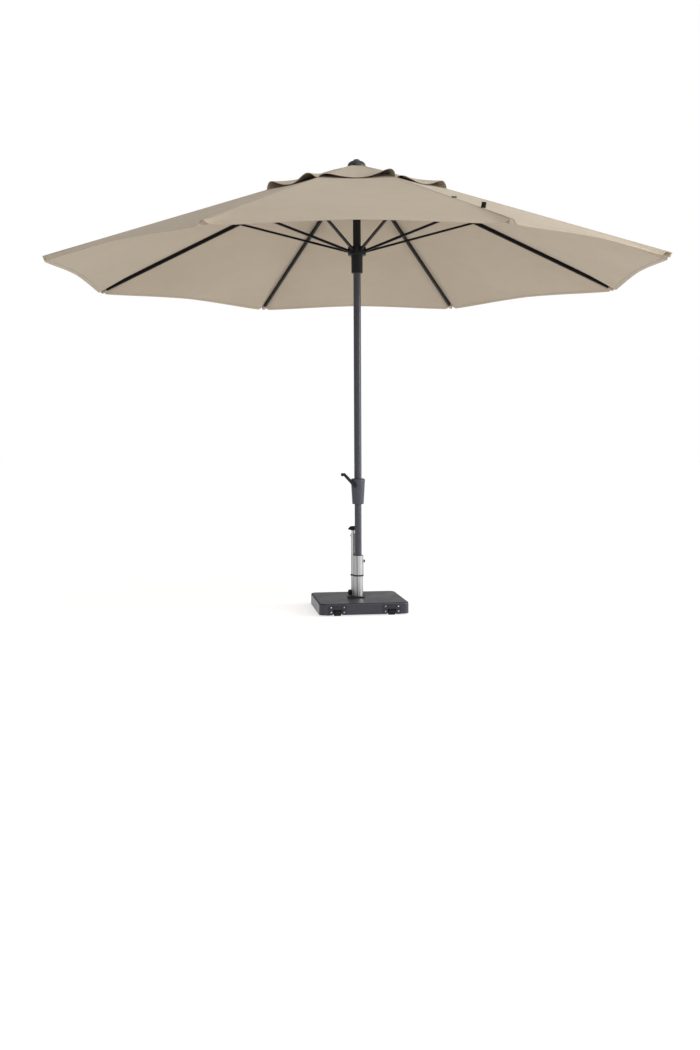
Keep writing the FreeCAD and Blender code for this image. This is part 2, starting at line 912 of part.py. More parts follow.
def make_crank_housing(doc):
    body = new_body(doc, "crank_shell")
    revolve(
        body,
        "Shell",
        [
            ("pole_lower_radius + snug_gap", "housing_bottom"),
            ("housing_foot_radius - 2", "housing_bottom"),
            ("housing_foot_radius", "housing_bottom + 2"),
            ("housing_head_radius", "housing_shoulder"),
            ("housing_head_radius", "housing_top"),
            ("pole_radius + snug_gap", "housing_top"),
            ("pole_radius + snug_gap", "cavity_top"),
            ("cavity_radius", "cavity_top"),
            ("cavity_radius", "cavity_bottom"),
            ("pole_lower_radius + snug_gap", "cavity_bottom"),
        ],
    )
    head = size("housing_head_radius")
    top = size("housing_top")
    dress(
        body, "Fillet", "Shoulder", lambda e: circle_at(e, "z", top, head), "housing_round"
    )
    place = FreeCAD.Placement(
        V(0, 0, size("crank_height")), pointing(flat_direction(size("crank_azimuth")))
    )
    bore = rod(
        doc, "spindle_bore", "spindle_radius + pin_clearance", "2 * housing_head_radius", place
    )
    return cut(doc, "crank_housing", body, bore)


def make_crank_arm(doc):
    body = new_body(doc, "crank_arm")
    spindle = new_sketch(body, "Spindle", "YZ_Plane", raised="spindle_start")
    add_circle(spindle, "0", "0", "spindle_radius")
    pad(body, "SpindlePad", spindle, "arm_outer - spindle_start")
    arm = new_sketch(body, "Arm", "YZ_Plane", raised="arm_inner")
    wide = "(arm_width / 2)"
    add_outline(
        arm,
        [
            (f"-{wide} * 1.1", "-" + wide),
            (f"{wide} * 1.1", "-" + wide),
            (f"{wide} * 0.85", "arm_length + " + wide),
            (f"-{wide} * 0.85", "arm_length + " + wide),
        ],
    )
    pad(body, "ArmPad", arm, "arm_outer - arm_inner")

    def upright(edge):
        ends = [v.Point for v in edge.Vertexes]
        return len(ends) == 2 and abs(ends[0].x - ends[1].x) > 7 and abs(ends[0].y) > 5

    dress(body, "Fillet", "ArmCorners", upright, "arm_width * 0.4")
    pin = new_sketch(body, "GripPin", "YZ_Plane", raised="arm_outer - 1")
    add_circle(pin, "0", "arm_length", "grip_pin_radius")
    pad(body, "GripPinPad", pin, "grip_cap_end - arm_outer + 1")
    cap = new_sketch(body, "GripCap", "YZ_Plane", raised="grip_end + 0.5")
    add_circle(cap, "0", "arm_length", "grip_cap_radius")
    pad(body, "GripCapPad", cap, "grip_cap_end - grip_end - 0.5")
    body.Placement = crank_place()
    return body


def make_winding_drum(doc):
    """Inside the housing, where the lift cord winds."""
    body = new_body(doc, "winding_drum")
    length = "drum_half_length"
    revolve(
        body,
        "Drum",
        [
            ("-" + length, "spindle_radius + snug_gap"),
            (length, "spindle_radius + snug_gap"),
            (length, "drum_flange_radius"),
            (length + " - drum_flange", "drum_flange_radius"),
            (length + " - drum_flange", "drum_core_radius"),
            ("-(" + length + " - drum_flange)", "drum_core_radius"),
            ("-(" + length + " - drum_flange)", "drum_flange_radius"),
            ("-" + length, "drum_flange_radius"),
        ],
        axis="H_Axis",
    )
    body.Placement = crank_place()
    return body


def make_crank_grip(doc):
    body = new_body(doc, "crank_grip")
    revolve(
        body,
        "Grip",
        [
            ("grip_start", "grip_pin_radius + pin_clearance"),
            ("grip_end", "grip_pin_radius + pin_clearance"),
            ("grip_end", "grip_radius - 2"),
            ("grip_end - 2", "grip_radius"),
            ("(grip_start + grip_end) / 2", "grip_radius - 1.5"),
            ("grip_start + 3", "grip_radius - 1"),
            ("grip_start", "grip_radius - 3"),
        ],
        axis="H_Axis",
    )
    along = FreeCAD.Placement(V(0, 0, size("arm_length")), FreeCAD.Rotation())
    body.Placement = crank_place() * along
    return body


# The slab and what is on it. The slab is turned a little about the pole.


def slab_place(x=0.0, y=0.0, z=0.0, turn=None):
    turned = FreeCAD.Placement(V(), FreeCAD.Rotation(V(0, 0, 1), size("slab_turn")))
    return turned * FreeCAD.Placement(V(x, y, z), turn or FreeCAD.Rotation())


def wheel_places():
    """Both wheels' centres, in the slab's directions."""
    back = -size("slab_side") / 2 + size("wheel_setback")
    height = size("wheel_radius") + size("wheel_rise")
    return [(side * size("wheel_spacing") / 2, back, height) for side in (-1, 1)]


def bracket_screw_spots():
    spots = []
    for x, _, _ in wheel_places():
        for side in (-1, 1):
            for height in (size("bracket_screw_low"), size("bracket_screw_high")):
                spots.append((x + side * size("bracket_screw_x"), height))
    return spots


def plate_screw_spots():
    inset = size("plate_screw_inset")
    xs = (size("plate_left") + inset, size("plate_right") - inset)
    ys = (size("plate_front") + inset, size("plate_back") - inset)
    return [(x, y) for x in xs for y in ys]


def make_slab(doc):
    body = new_body(doc, "slab_block")
    block = new_sketch(body, "Block", "XY_Plane", raised="slab_bottom")
    half = "(slab_side / 2)"
    add_outline(
        block, [("-" + half, "-" + half), (half, "-" + half), (half, half), ("-" + half, half)]
    )
    pad(body, "BlockPad", block, "slab_thickness")

    def corner(edge):
        ends = [v.Point for v in edge.Vertexes]
        return abs(ends[0].z - ends[1].z) > 1

    dress(body, "Fillet", "Corners", corner, "slab_corner")
    top = size("slab_bottom") + size("slab_thickness")

    def top_edge(edge):
        return all(abs(v.Point.z - top) < 0.01 for v in edge.Vertexes)

    dress(body, "Fillet", "TopEdge", top_edge, "slab_edge")
    recess = new_sketch(body, "Recess", "XZ_Plane", raised="slab_side / 2")
    for side in ("-", ""):
        middle = f"{side}wheel_spacing / 2"
        add_outline(
            recess,
            [
                (f"{middle} - recess_width / 2", "slab_bottom - 1"),
                (f"{middle} + recess_width / 2", "slab_bottom - 1"),
                (f"{middle} + recess_width / 2", "slab_bottom + recess_height"),
                (f"{middle} - recess_width / 2", "slab_bottom + recess_height"),
            ],
        )
    pocket(body, "WheelRecesses", recess, "recess_depth")
    holes = new_sketch(body, "BracketHoles", "XZ_Plane", raised="slab_side / 2")
    for x, height in bracket_screw_spots():
        add_circle(holes, x, height, "screw_radius + snug_gap")
    pocket(body, "BracketBores", holes, "screw_length + 1")
    body.Placement = slab_place()
    doc.recompute()
    bores = []
    for number, (x, y) in enumerate(plate_screw_spots(), start=1):
        place = FreeCAD.Placement(V(x, y, top - size("screw_length")), FreeCAD.Rotation())
        bores.append(
            rod(
                doc,
                f"plate_bore_{number}",
                "screw_radius + snug_gap",
                "2 * screw_length",
                place,
            )
        )
    return cut(doc, "base_slab", body, combined(doc, "MultiFuse", "plate_bores", bores))


def make_screw(doc, name, place):
    """A button-head screw: its head stands on Z = 0 and its shank goes down."""
    body = new_body(doc, name)
    revolve(
        body,
        "Screw",
        [
            ("0", "-(screw_length)"),
            ("screw_radius - 0.5", "-(screw_length)"),
            ("screw_radius", "-(screw_length - 1)"),
            ("screw_radius", "0"),
            ("screw_head_radius", "0"),
            ("screw_head_radius", "screw_head_height * 0.4"),
            ("screw_head_radius * 0.6", "screw_head_height"),
            ("0", "screw_head_height"),
        ],
    )
    body.Placement = place
    return body


def make_base_screws(doc):
    """Twelve alike: eight hold the wheel brackets and four the tubes' foot plate."""
    screws = []
    face = -size("slab_side") / 2 - size("bracket_plate") - size("snug_gap")
    forward = FreeCAD.Rotation(V(1, 0, 0), 90)
    for x, height in bracket_screw_spots():
        name = f"screw_{len(screws) + 1}"
        screws.append(make_screw(doc, name, slab_place(x, face, height, forward)))
    top = size("slab_bottom") + size("slab_thickness") + size("plate_thickness")
    for x, y in plate_screw_spots():
        name = f"screw_{len(screws) + 1}"
        place = FreeCAD.Placement(V(x, y, top + size("snug_gap")), FreeCAD.Rotation())
        screws.append(make_screw(doc, name, place))
    return grouped(doc, "base_screws", screws)


def make_bracket(doc, name, middle):
    """A front plate with a window for its wheel and two ears that hold the axle."""
    body = new_body(doc, name)
    front = "(slab_side / 2 + bracket_plate)"
    plate = new_sketch(body, "Plate", "XZ_Plane", raised=front)
    low = "(slab_bottom + bracket_rise)"
    add_outline(
        plate,
        [
            ("-bracket_width / 2", low),
            ("bracket_width / 2", low),
            ("bracket_width / 2", f"{low} + bracket_height"),
            ("-bracket_width / 2", f"{low} + bracket_height"),
        ],
    )
    pad(body, "PlatePad", plate, "bracket_plate", backwards=True)

    def corner(edge):
        ends = [v.Point for v in edge.Vertexes]
        return abs(ends[0].y - ends[1].y) > 1

    dress(body, "Fillet", "PlateCorners", corner, "bracket_rise * 1.5")
    window = new_sketch(body, "Window", "XZ_Plane", raised=front)
    add_outline(
        window,
        [
            ("-bracket_window_width / 2", "slab_bottom"),
            ("bracket_window_width / 2", "slab_bottom"),
            ("bracket_window_width / 2", "slab_bottom + bracket_window_height"),
            ("-bracket_window_width / 2", "slab_bottom + bracket_window_height"),
        ],
    )
    pocket(body, "WindowCut", window, "bracket_plate + 1")
    ears = new_sketch(body, "Ears", "XY_Plane", raised=low)
    for side in ("-", ""):
        inner = f"{side}bracket_window_width / 2"
        outer = f"{side}(bracket_window_width / 2 + bracket_ear)"
        add_outline(
            ears,
            [
                (inner, "-slab_side / 2 - 1"),
                (outer, "-slab_side / 2 - 1"),
                (outer, "-slab_side / 2 + bracket_ear_depth"),
                (inner, "-slab_side / 2 + bracket_ear_depth"),
            ],
        )
    pad(body, "EarPads", ears, "bracket_window_height - 8")
    holes = new_sketch(body, "ScrewHoles", "XZ_Plane", raised=front)
    for side in ("-", ""):
        for height in ("bracket_screw_low", "bracket_screw_high"):
            add_circle(holes, f"{side}bracket_screw_x", height, "screw_radius + 0.3")
    pocket(body, "ScrewBores", holes, "bracket_plate + 1")
    axle = new_sketch(body, "AxleHole", "YZ_Plane")
    add_circle(
        axle,
        "-slab_side / 2 + wheel_setback",
        "wheel_radius + wheel_rise",
        "axle_radius + snug_gap",
    )
    pocket(body, "AxleBore", axle, "bracket_width", midplane=True)
    body.Placement = slab_place(middle)
    return body


def make_wheel_brackets(doc):
    names = ("wheel_bracket_left", "wheel_bracket_right")
    places = wheel_places()
    return grouped(
        doc,
        "wheel_brackets",
        [make_bracket(doc, name, place[0]) for name, place in zip(names, places)],
    )


def make_wheel_axles(doc):
    length = size("bracket_window_width") + 2 * size("bracket_ear")
    axles = []
    for number, (x, y, z) in enumerate(wheel_places(), start=1):
        place = slab_place(x - length / 2, y, z, FreeCAD.Rotation(V(0, 1, 0), 90))
        axles.append(rod(doc, f"axle_{number}", "axle_radius", length, place))
    return grouped(doc, "wheel_axles", axles)


def make_wheel(doc, name, place):
    """A rubber roller with a shallow groove each side of its middle."""
    body = new_body(doc, name)
    half = "(wheel_width / 2)"
    revolve(
        body,
        "Roller",
        [
            ("-" + half, "axle_radius + pin_clearance"),
            (half, "axle_radius + pin_clearance"),
            (half, "wheel_radius - wheel_round"),
            (half + " - wheel_round * 0.4", "wheel_radius - wheel_round * 0.4"),
            (half + " - wheel_round", "wheel_radius"),
            ("-(" + half + " - wheel_round)", "wheel_radius"),
            ("-(" + half + " - wheel_round * 0.4)", "wheel_radius - wheel_round * 0.4"),
            ("-" + half, "wheel_radius - wheel_round"),
        ],
        axis="H_Axis",
    )
    body.Placement = slab_place(*place)
    return body


def make_base_feet(doc):
    reach = size("slab_side") / 2 - size("foot_inset")
    feet = []
    for x in (-reach, reach):
        for y in (-reach, reach):
            name = f"foot_{len(feet) + 1}"
            feet.append(rod(doc, name, "foot_radius", "slab_bottom", slab_place(x, y)))
    return grouped(doc, "base_feet", feet)


def make_tube_flange(doc):
    body = new_body(doc, "tube_flange")
    plate = new_sketch(body, "FootPlate", "XY_Plane", raised="slab_bottom + slab_thickness")
    add_outline(
        plate,
        [
            ("plate_left", "plate_front"),
            ("plate_right", "plate_front"),
            ("plate_right", "plate_back"),
            ("plate_left", "plate_back"),
        ],
    )
    pad(body, "FootPlatePad", plate, "plate_thickness")

    def corner(edge):
        ends = [v.Point for v in edge.Vertexes]
        return abs(ends[0].z - ends[1].z) > 1

    dress(body, "Fillet", "FootPlateCorners", corner, "plate_corner")
    holes = new_sketch(
        body, "FootPlateHoles", "XY_Plane", raised="slab_bottom + slab_thickness + plate_thickness"
    )
    for x, y in plate_screw_spots():
        add_circle(holes, x, y, "screw_radius + 0.3")
    pocket(body, "FootPlateBores", holes, "plate_thickness + 1")
    return body


def make_stand_tube(doc):
    """The stainless tube, with the strip and the boss of its clamp welded on."""
    foot = "slab_bottom + slab_thickness + plate_thickness"
    body = new_body(doc, "stand_tube")
    ring(body, "Tube", "tube_radius", "tube_bore", foot, "tube_top")
    strip = new_sketch(body, "ClampStrip", "XY_Plane", raised="clamp_strip_bottom")
    add_outline(
        strip,
        [
            ("tube_radius - 1.5", "-clamp_strip_width / 2"),
            ("clamp_strip_reach", "-clamp_strip_width / 2"),
            ("clamp_strip_reach", "clamp_strip_width / 2"),
            ("tube_radius - 1.5", "clamp_strip_width / 2"),
        ],
    )
    pad(body, "ClampStripPad", strip, "tube_top - clamp_strip_bottom")
    boss = new_sketch(body, "ClampBoss", "YZ_Plane", raised="tube_radius - 1.2")
    add_circle(boss, "0", "clamp_height", "clamp_boss_radius")
    pad(body, "ClampBossPad", boss, "clamp_boss_reach - tube_radius + 1.2")
    bore = new_sketch(body, "ClampBore", "YZ_Plane", raised="clamp_boss_reach + 1")
    add_circle(bore, "0", "clamp_height", "clamp_screw_radius + pin_clearance")
    pocket(body, "ClampBoreCut", bore, "clamp_boss_reach - tube_bore + 5")
    return body


def make_tube_sleeve(doc):
    """Fills the gap between the stand tube and the thinner pole."""
    body = new_body(doc, "tube_sleeve")
    revolve(
        body,
        "Sleeve",
        [
            ("sleeve_bore", "sleeve_bottom"),
            ("tube_bore - snug_gap", "sleeve_bottom"),
            ("tube_bore - snug_gap", "tube_top + snug_gap"),
            ("tube_radius", "tube_top + snug_gap"),
            ("tube_radius - 1", "tube_top + sleeve_lip"),
            ("sleeve_bore", "tube_top + sleeve_lip"),
        ],
    )
    bore = new_sketch(body, "ScrewRoom", "YZ_Plane", raised="tube_radius")
    add_circle(bore, "0", "clamp_height", "clamp_screw_radius + 1")
    pocket(body, "ScrewRoomCut", bore, "tube_radius - sleeve_bore + 3")
    return body


def make_clamp_knob(doc):
    body = new_body(doc, "clamp_knob")
    revolve(
        body,
        "Knob",
        [
            ("clamp_screw_tip", "0"),
            ("clamp_screw_tip", "clamp_screw_radius"),
            ("clamp_knob_start", "clamp_screw_radius"),
            ("clamp_knob_start", "clamp_knob_radius - 2"),
            ("clamp_knob_start + 2", "clamp_knob_radius"),
            ("clamp_knob_end - 4", "clamp_knob_radius"),
            ("clamp_knob_end", "clamp_knob_radius - 5"),
            ("clamp_knob_end", "0"),
        ],
        axis="H_Axis",
    )
    body.Placement = FreeCAD.Placement(V(0, 0, size("clamp_height")), FreeCAD.Rotation())
    return body


def handle_place(turn=0.0):
    around = FreeCAD.Rotation(V(0, 0, 1), turn)
    return FreeCAD.Placement(V(size("handle_x"), size("handle_y"), 0), around)


def foot_knob_place():
    """X runs out from the handle tube's axis."""
    turn = FreeCAD.Rotation(V(0, 0, 1), size("foot_knob_azimuth"))
    return FreeCAD.Placement(
        V(size("handle_x"), size("handle_y"), size("foot_knob_height")), turn
    )


def make_handle_tube(doc):
    foot = "slab_bottom + slab_thickness + plate_thickness"
    body = new_body(doc, "handle_outer")
    revolve(
        body,
        "Tube",
        [
            ("handle_tube_bore", foot),
            ("handle_tube_radius", foot),
            ("handle_tube_radius", "handle_tube_top - 1"),
            ("handle_tube_radius - 1", "handle_tube_top"),
            ("rod_radius + rod_gap", "handle_tube_top"),
            ("rod_radius + rod_gap", "handle_tube_top - handle_mouth"),
            ("handle_tube_bore", "handle_tube_top - handle_mouth"),
        ],
    )
    body.Placement = handle_place()
    button = rod(
        doc,
        "button_bore",
        "handle_button_radius + button_bore_gap",
        "2 * handle_tube_radius",
        FreeCAD.Placement(
            V(size("handle_x"), size("handle_y"), size("handle_button_height")),
            pointing(V(-1, 0, 0)),
        ),
    )
    stem = rod(
        doc,
        "stem_bore",
        "foot_knob_stem + pin_clearance",
        "2 * handle_tube_radius",
        FreeCAD.Placement(
            foot_knob_place().Base, pointing(flat_direction(size("foot_knob_azimuth")))
        ),
    )
    return cut(doc, "handle_tube", body, combined(doc, "MultiFuse", "bores", [button, stem]))


def make_handle_rod(doc):
    """Slides in the handle tube and is stopped by its thicker foot."""
    body = new_body(doc, "handle_rod")
    revolve(
        body,
        "Rod",
        [
            ("0", "rod_bottom"),
            ("handle_tube_bore - rod_gap", "rod_bottom"),
            ("handle_tube_bore - rod_gap", "rod_bottom + rod_foot_height"),
            ("rod_radius", "rod_bottom + rod_foot_height"),
            ("rod_radius", "rod_top"),
            ("0", "rod_top"),
        ],
    )
    body.Placement = handle_place()
    return body


def make_handle_grip(doc):
    """A T handle whose ends droop."""
    body = new_body(doc, "handle_grip")
    outline = new_sketch(body, "Tee", "XZ_Plane")
    half = "handle_grip_half"
    low = "handle_grip_bottom"
    top = "handle_grip_top"
    right = [
        ("rod_radius + 4", low),
        ("rod_radius + 5", f"{low} + 8"),
        (f"{half} - 6", f"{low} + 5"),
        (f"{half}", f"{low} + 7"),
        (f"{half} - 2", f"{low} + 14"),
        (f"{half} - 12", f"{top} - 5"),
        ("rod_radius", top),
    ]
    left = [(f"-({across})", up) for across, up in reversed(right)]
    add_outline(outline, right + left)
    pad(body, "TeePad", outline, "handle_grip_depth", midplane=True)

    def side_edge(edge):
        return all(abs(abs(v.Point.y) - size("handle_grip_depth") / 2) < 0.01 for v in edge.Vertexes)

    dress(body, "Fillet", "TeeRound", side_edge, "3")
    socket = new_sketch(body, "Socket", "XY_Plane", raised="rod_top + snug_gap")
    add_circle(socket, "0", "0", "rod_radius + snug_gap")
    pocket(body, "SocketBore", socket, "rod_top - handle_grip_bottom + 2")
    # The bar lies square to the line from the pole, which keeps it clear of the pole.
    outward = math.degrees(math.atan2(size("handle_y"), size("handle_x")))
    body.Placement = handle_place(outward - 90)
    return body


def make_handle_button(doc):
    body = new_body(doc, "handle_button")
    revolve(
        body,
        "Button",
        [
            ("-handle_button_inner", "0"),
            ("-handle_button_inner", "handle_button_radius"),
            ("-(handle_button_outer - 1)", "handle_button_radius"),
            ("-handle_button_outer", "handle_button_radius - 1"),
            ("-handle_button_outer", "0"),
        ],
        axis="H_Axis",
    )
    body.Placement = FreeCAD.Placement(
        V(size("handle_x"), size("handle_y"), size("handle_button_height")),
        FreeCAD.Rotation(),
    )
    return body


def make_handle_band(doc):
    """A clip round both tubes."""
    body = new_body(doc, "handle_band")
    rings = (
        ("Big", "0", "0", "tube_radius"),
        ("Small", "handle_x", "handle_y", "handle_tube_radius"),
    )
    for name, across, up, radius in rings:
        disc = new_sketch(body, name + "Disc", "XY_Plane", raised="band_bottom - band_height / 2")
        add_circle(disc, across, up, f"{radius} + band_wall")
        pad(body, name + "Pad", disc, "band_height")
    for name, across, up, radius in rings:
        hole = new_sketch(body, name + "Hole", "XY_Plane", raised="band_bottom + band_height")
        add_circle(hole, across, up, f"{radius} + snug_gap")
        pocket(body, name + "Bore", hole, "2 * band_height")
    strip_room = new_sketch(body, "StripRoom", "XY_Plane", raised="band_bottom + band_height")
    add_outline(
        strip_room,
        [
            ("tube_radius - 2", "-clamp_strip_width / 2 - 1"),
            ("tube_radius + 1.5 * band_wall", "-clamp_strip_width / 2 - 1"),
            ("tube_radius + 1.5 * band_wall", "clamp_strip_width / 2 + 1"),
            ("tube_radius - 2", "clamp_strip_width / 2 + 1"),
        ],
    )
    pocket(body, "StripRoomCut", strip_room, "2 * band_height")
    return body


def make_foot_knob(doc):
    body = new_body(doc, "foot_knob")
    revolve(
        body,
        "Knob",
        [
            ("foot_knob_tip", "0"),
            ("foot_knob_tip", "foot_knob_stem"),
            ("foot_knob_start", "foot_knob_stem"),
            ("foot_knob_start", "foot_knob_radius - 4"),
            ("foot_knob_start + 4", "foot_knob_radius"),
            ("foot_knob_end - 4", "foot_knob_radius"),
            ("foot_knob_end", "foot_knob_radius - 5"),
            ("foot_knob_end", "0"),
        ],
        axis="H_Axis",
    )
    body.Placement = foot_knob_place()
    return body


def make_all(doc):
    nodes = [
        make_slab(doc),
        make_base_feet(doc),
        make_base_screws(doc),
        make_wheel_brackets(doc),
        make_wheel_axles(doc),
        make_tube_flange(doc),
        make_stand_tube(doc),
        make_tube_sleeve(doc),
        make_clamp_knob(doc),
        make_handle_tube(doc),
        make_handle_rod(doc),
        make_handle_grip(doc),
        make_handle_button(doc),
        make_handle_band(doc),
        make_foot_knob(doc),
        make_pole_lower(doc),
        make_pole_upper(doc),
        make_crank_housing(doc),
        make_crank_arm(doc),
        make_winding_drum(doc),
        make_crank_grip(doc),
        make_hub(doc),
        make_top_plug(doc),
        make_pulley(doc),
        make_finial(doc),
        make_runner(doc),
    ]
    for name, place in zip(("wheel_left", "wheel_right"), wheel_places()):
        nodes.append(make_wheel(doc, name, place))
    for number in range(1, size("rib_count") + 1):
        nodes.append(make_rib(doc, number))
        nodes.append(make_rib_fittings(doc, number))
        nodes.append(make_strut(doc, number))
        nodes.append(make_canopy(doc, number))
    return nodes


def check(doc, nodes):
    """Stops on any failed feature and on any shape that is empty or not valid."""
    for item in doc.Objects:
        if "Invalid" in item.State or "Error" in item.State:
            raise RuntimeError(f"{item.Name} in {item.Label} failed: {item.State}")
    for node in nodes:
        if node.Shape.isNull() or not node.Shape.isValid() or not node.Shape.Solids:
            raise RuntimeError(f"{node.Label} has no valid solid")


def main():
    doc = FreeCAD.newDocument("Parasol")
    make_sheet(doc)
    nodes = make_all(doc)
    doc.recompute()
    check(doc, nodes)
    os.makedirs("parts", exist_ok=True)
    for node in nodes:
        node.Shape.exportStep(f"parts/{node.Label}.step")
        solids = len(node.Shape.Solids)
        print(f"{node.Label}: {solids} solids, {node.Shape.Volume / 1000:.1f} cm3")
    print(len(nodes), "nodes")


main()
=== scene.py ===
import json
import math

import bmesh
import bpy
from mathutils import Matrix, Vector


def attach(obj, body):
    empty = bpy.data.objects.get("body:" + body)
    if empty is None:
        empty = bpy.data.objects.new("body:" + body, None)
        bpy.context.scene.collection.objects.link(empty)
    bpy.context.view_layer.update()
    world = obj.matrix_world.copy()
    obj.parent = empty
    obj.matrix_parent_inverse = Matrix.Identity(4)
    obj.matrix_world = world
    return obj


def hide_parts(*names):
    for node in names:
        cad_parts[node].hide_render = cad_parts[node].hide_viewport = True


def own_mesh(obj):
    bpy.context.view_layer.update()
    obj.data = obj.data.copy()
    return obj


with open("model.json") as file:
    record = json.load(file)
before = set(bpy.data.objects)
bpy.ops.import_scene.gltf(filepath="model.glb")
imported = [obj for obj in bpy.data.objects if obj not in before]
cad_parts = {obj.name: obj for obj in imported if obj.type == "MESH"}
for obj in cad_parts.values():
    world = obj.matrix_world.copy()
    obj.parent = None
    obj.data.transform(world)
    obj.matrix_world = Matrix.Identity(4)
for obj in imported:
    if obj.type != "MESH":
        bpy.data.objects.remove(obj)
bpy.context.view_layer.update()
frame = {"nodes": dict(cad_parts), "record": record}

RIBS = range(1, 9)
HALF_GORE = math.pi / 8
RIB_SLOPE = math.radians(19.746)
RIB_START = Vector((0.06453, 0.0, 2.86987))  # where the rib frame begins, on rib azimuth 0
CLOTH_THICK = 0.0012
MAIN_LIFT, VENT_LIFT = 0.0137, 0.0162  # height of each cloth's underside above the rib's middle
MAIN_INNER, MAIN_OUTER = 0.430, 2.000
VENT_INNER, VENT_OUTER = 0.050, 0.615
VENT_LOOSE = 0.24  # the vent cloth hangs free from this reach outwards
MAIN_HEM, VENT_HEM = 0.026, 0.016
MAIN_SEAM, VENT_SEAM = 0.011, 0.009  # half widths of the bands sewn over the ribs
SEAM_THICK = 0.0009
SEAM_RAISE = CLOTH_THICK * 0.98  # the band just sinks into the cloth, so no gap shows
HEM_BOW = 0.012
CLOTH_SAG = 0.009
TIP_WRAP = 0.025  # how far the cloth comes down beside a rib's end
TIP_OPEN = {2: 0.07}  # ribs beside which the cloth comes down late, from this far off


# Camera, floor and light.


def make_camera():
    data = bpy.data.cameras.new("camera")
    data.sensor_width = 36.0
    data.lens = 39.566
    data.shift_y = -0.0804
    camera = bpy.data.objects.new("camera", data)
    bpy.context.scene.collection.objects.link(camera)
    camera.location = (0.0, -7.53, 1.10)
    camera.rotation_euler = (math.radians(90), math.radians(0.25), math.radians(0.385))
    bpy.context.scene.camera = camera


def make_world():
    """Soft studio light from all round, stronger from the upper right."""
    world = bpy.data.worlds.new("studio")
    bpy.context.scene.world = world
    world.use_nodes = True
    tree = world.node_tree
    tree.nodes.clear()
    place = add(tree, "ShaderNodeTexCoord")
    path = add(tree, "ShaderNodeLightPath")

    side = add(tree, "ShaderNodeVectorMath", operation="DOT_PRODUCT")
    side.inputs[1].default_value = Vector((0.62, -0.62, 0.48)).normalized()
    tree.links.new(place.outputs["Generated"], side.inputs[0])
    strength = ramp(tree, side.outputs["Value"], -1.0, 1.0, 0.14, 1.08)

    # Reflections see soft upright stripes, as from the panels of a studio.
    across = add(tree, "ShaderNodeSeparateXYZ")
    feed(tree, across.inputs[0], place.outputs["Generated"])
    wave = maths(tree, "SINE", maths(tree, "MULTIPLY_ADD", across.outputs[0], 7.0, 0.9))
    stripes = ramp(tree, wave, -1.0, 1.0, 0.35, 1.25)
    panels = blend_number(tree, path.outputs["Is Glossy Ray"], 1.0, stripes)
    soft = maths(tree, "MULTIPLY", strength, panels)

    light = add(tree, "ShaderNodeBackground")
    plain = add(tree, "ShaderNodeBackground")
    mix = add(tree, "ShaderNodeMixShader")
    tree.links.new(path.outputs["Is Camera Ray"], mix.inputs[0])
    tree.links.new(light.outputs[0], mix.inputs[1])
    tree.links.new(plain.outputs[0], mix.inputs[2])
    feed(tree, light.inputs["Strength"], soft)
    plain.inputs["Color"].default_value = (1.0, 1.0, 1.0, 1.0)
    light.inputs["Color"].default_value = (1.0, 0.995, 0.985, 1.0)
    out = add(tree, "ShaderNodeOutputWorld")
    tree.links.new(mix.outputs[0], out.inputs[0])


def make_lights():
    for name, place, power, wide in (
        ("key", (4.2, -6.0, 6.5), 200.0, 4.0),
        ("side", (7.5, -1.2, 3.2), 420.0, 4.5),
    ):
        data = bpy.data.lights.new(name, "AREA")
        data.size = wide
        data.energy = power
        lamp = bpy.data.objects.new(name, data)
        lamp.location = place
        lamp.rotation_mode = "QUATERNION"
        towards = Vector((0.0, 0.0, 1.6)) - Vector(place)
        lamp.rotation_quaternion = towards.to_track_quat("-Z", "Y")
        bpy.context.scene.collection.objects.link(lamp)


def make_floor():
    bpy.ops.mesh.primitive_plane_add(size=120.0, location=(0.0, 0.0, 0.0))
    floor = bpy.context.object
    floor.name = "floor"
    material = bpy.data.materials.new("pale_floor")
    material.use_nodes = True
    shader = material.node_tree.nodes["Principled BSDF"]
    shader.inputs["Base Color"].default_value = (0.45, 0.45, 0.45, 1.0)
    shader.inputs["Roughness"].default_value = 0.9
    shader.inputs["Emission Color"].default_value = (1.0, 1.0, 1.0, 1.0)
    shader.inputs["Emission Strength"].default_value = 0.66
    floor.data.materials.append(material)


# Nodes.


def add(tree, kind, **settings):
    node = tree.nodes.new(kind)
    for name, value in settings.items():
        setattr(node, name, value)
    return node


def feed(tree, socket, value):
    if isinstance(value, bpy.types.NodeSocket):
        tree.links.new(value, socket)
    elif value is not None:
        socket.default_value = value


def maths(tree, kind, first, second=None, third=None):
    node = add(tree, "ShaderNodeMath", operation=kind)
    for socket, value in zip(node.inputs, (first, second, third)):
        feed(tree, socket, value)
    return node.outputs[0]


def ramp(tree, value, low, high, to_low=0.0, to_high=1.0):
    node = add(tree, "ShaderNodeMapRange")
    for name, given in (
        ("Value", value),
        ("From Min", low),
        ("From Max", high),
        ("To Min", to_low),
        ("To Max", to_high),
    ):
        feed(tree, node.inputs[name], given)
    return node.outputs["Result"]


def blend_colour(tree, share, first, second, kind="MIX"):
    node = add(tree, "ShaderNodeMix", data_type="RGBA", blend_type=kind)
    feed(tree, node.inputs["Factor"], share)
    feed(tree, node.inputs["A"], first)
    feed(tree, node.inputs["B"], second)
    return node.outputs["Result"]


def blend_number(tree, share, first, second):
    node = add(tree, "ShaderNodeMix", data_type="FLOAT")
    feed(tree, node.inputs["Factor"], share)
    feed(tree, node.inputs["A"], first)
    feed(tree, node.inputs["B"], second)
    return node.outputs["Result"]


def noise(tree, vector, scale, detail=3.0, rough=0.55):
    node = add(tree, "ShaderNodeTexNoise")
    feed(tree, node.inputs["Vector"], vector)
    feed(tree, node.inputs["Scale"], scale)
    feed(tree, node.inputs["Detail"], detail)
    feed(tree, node.inputs["Roughness"], rough)
    return node.outputs["Fac"]


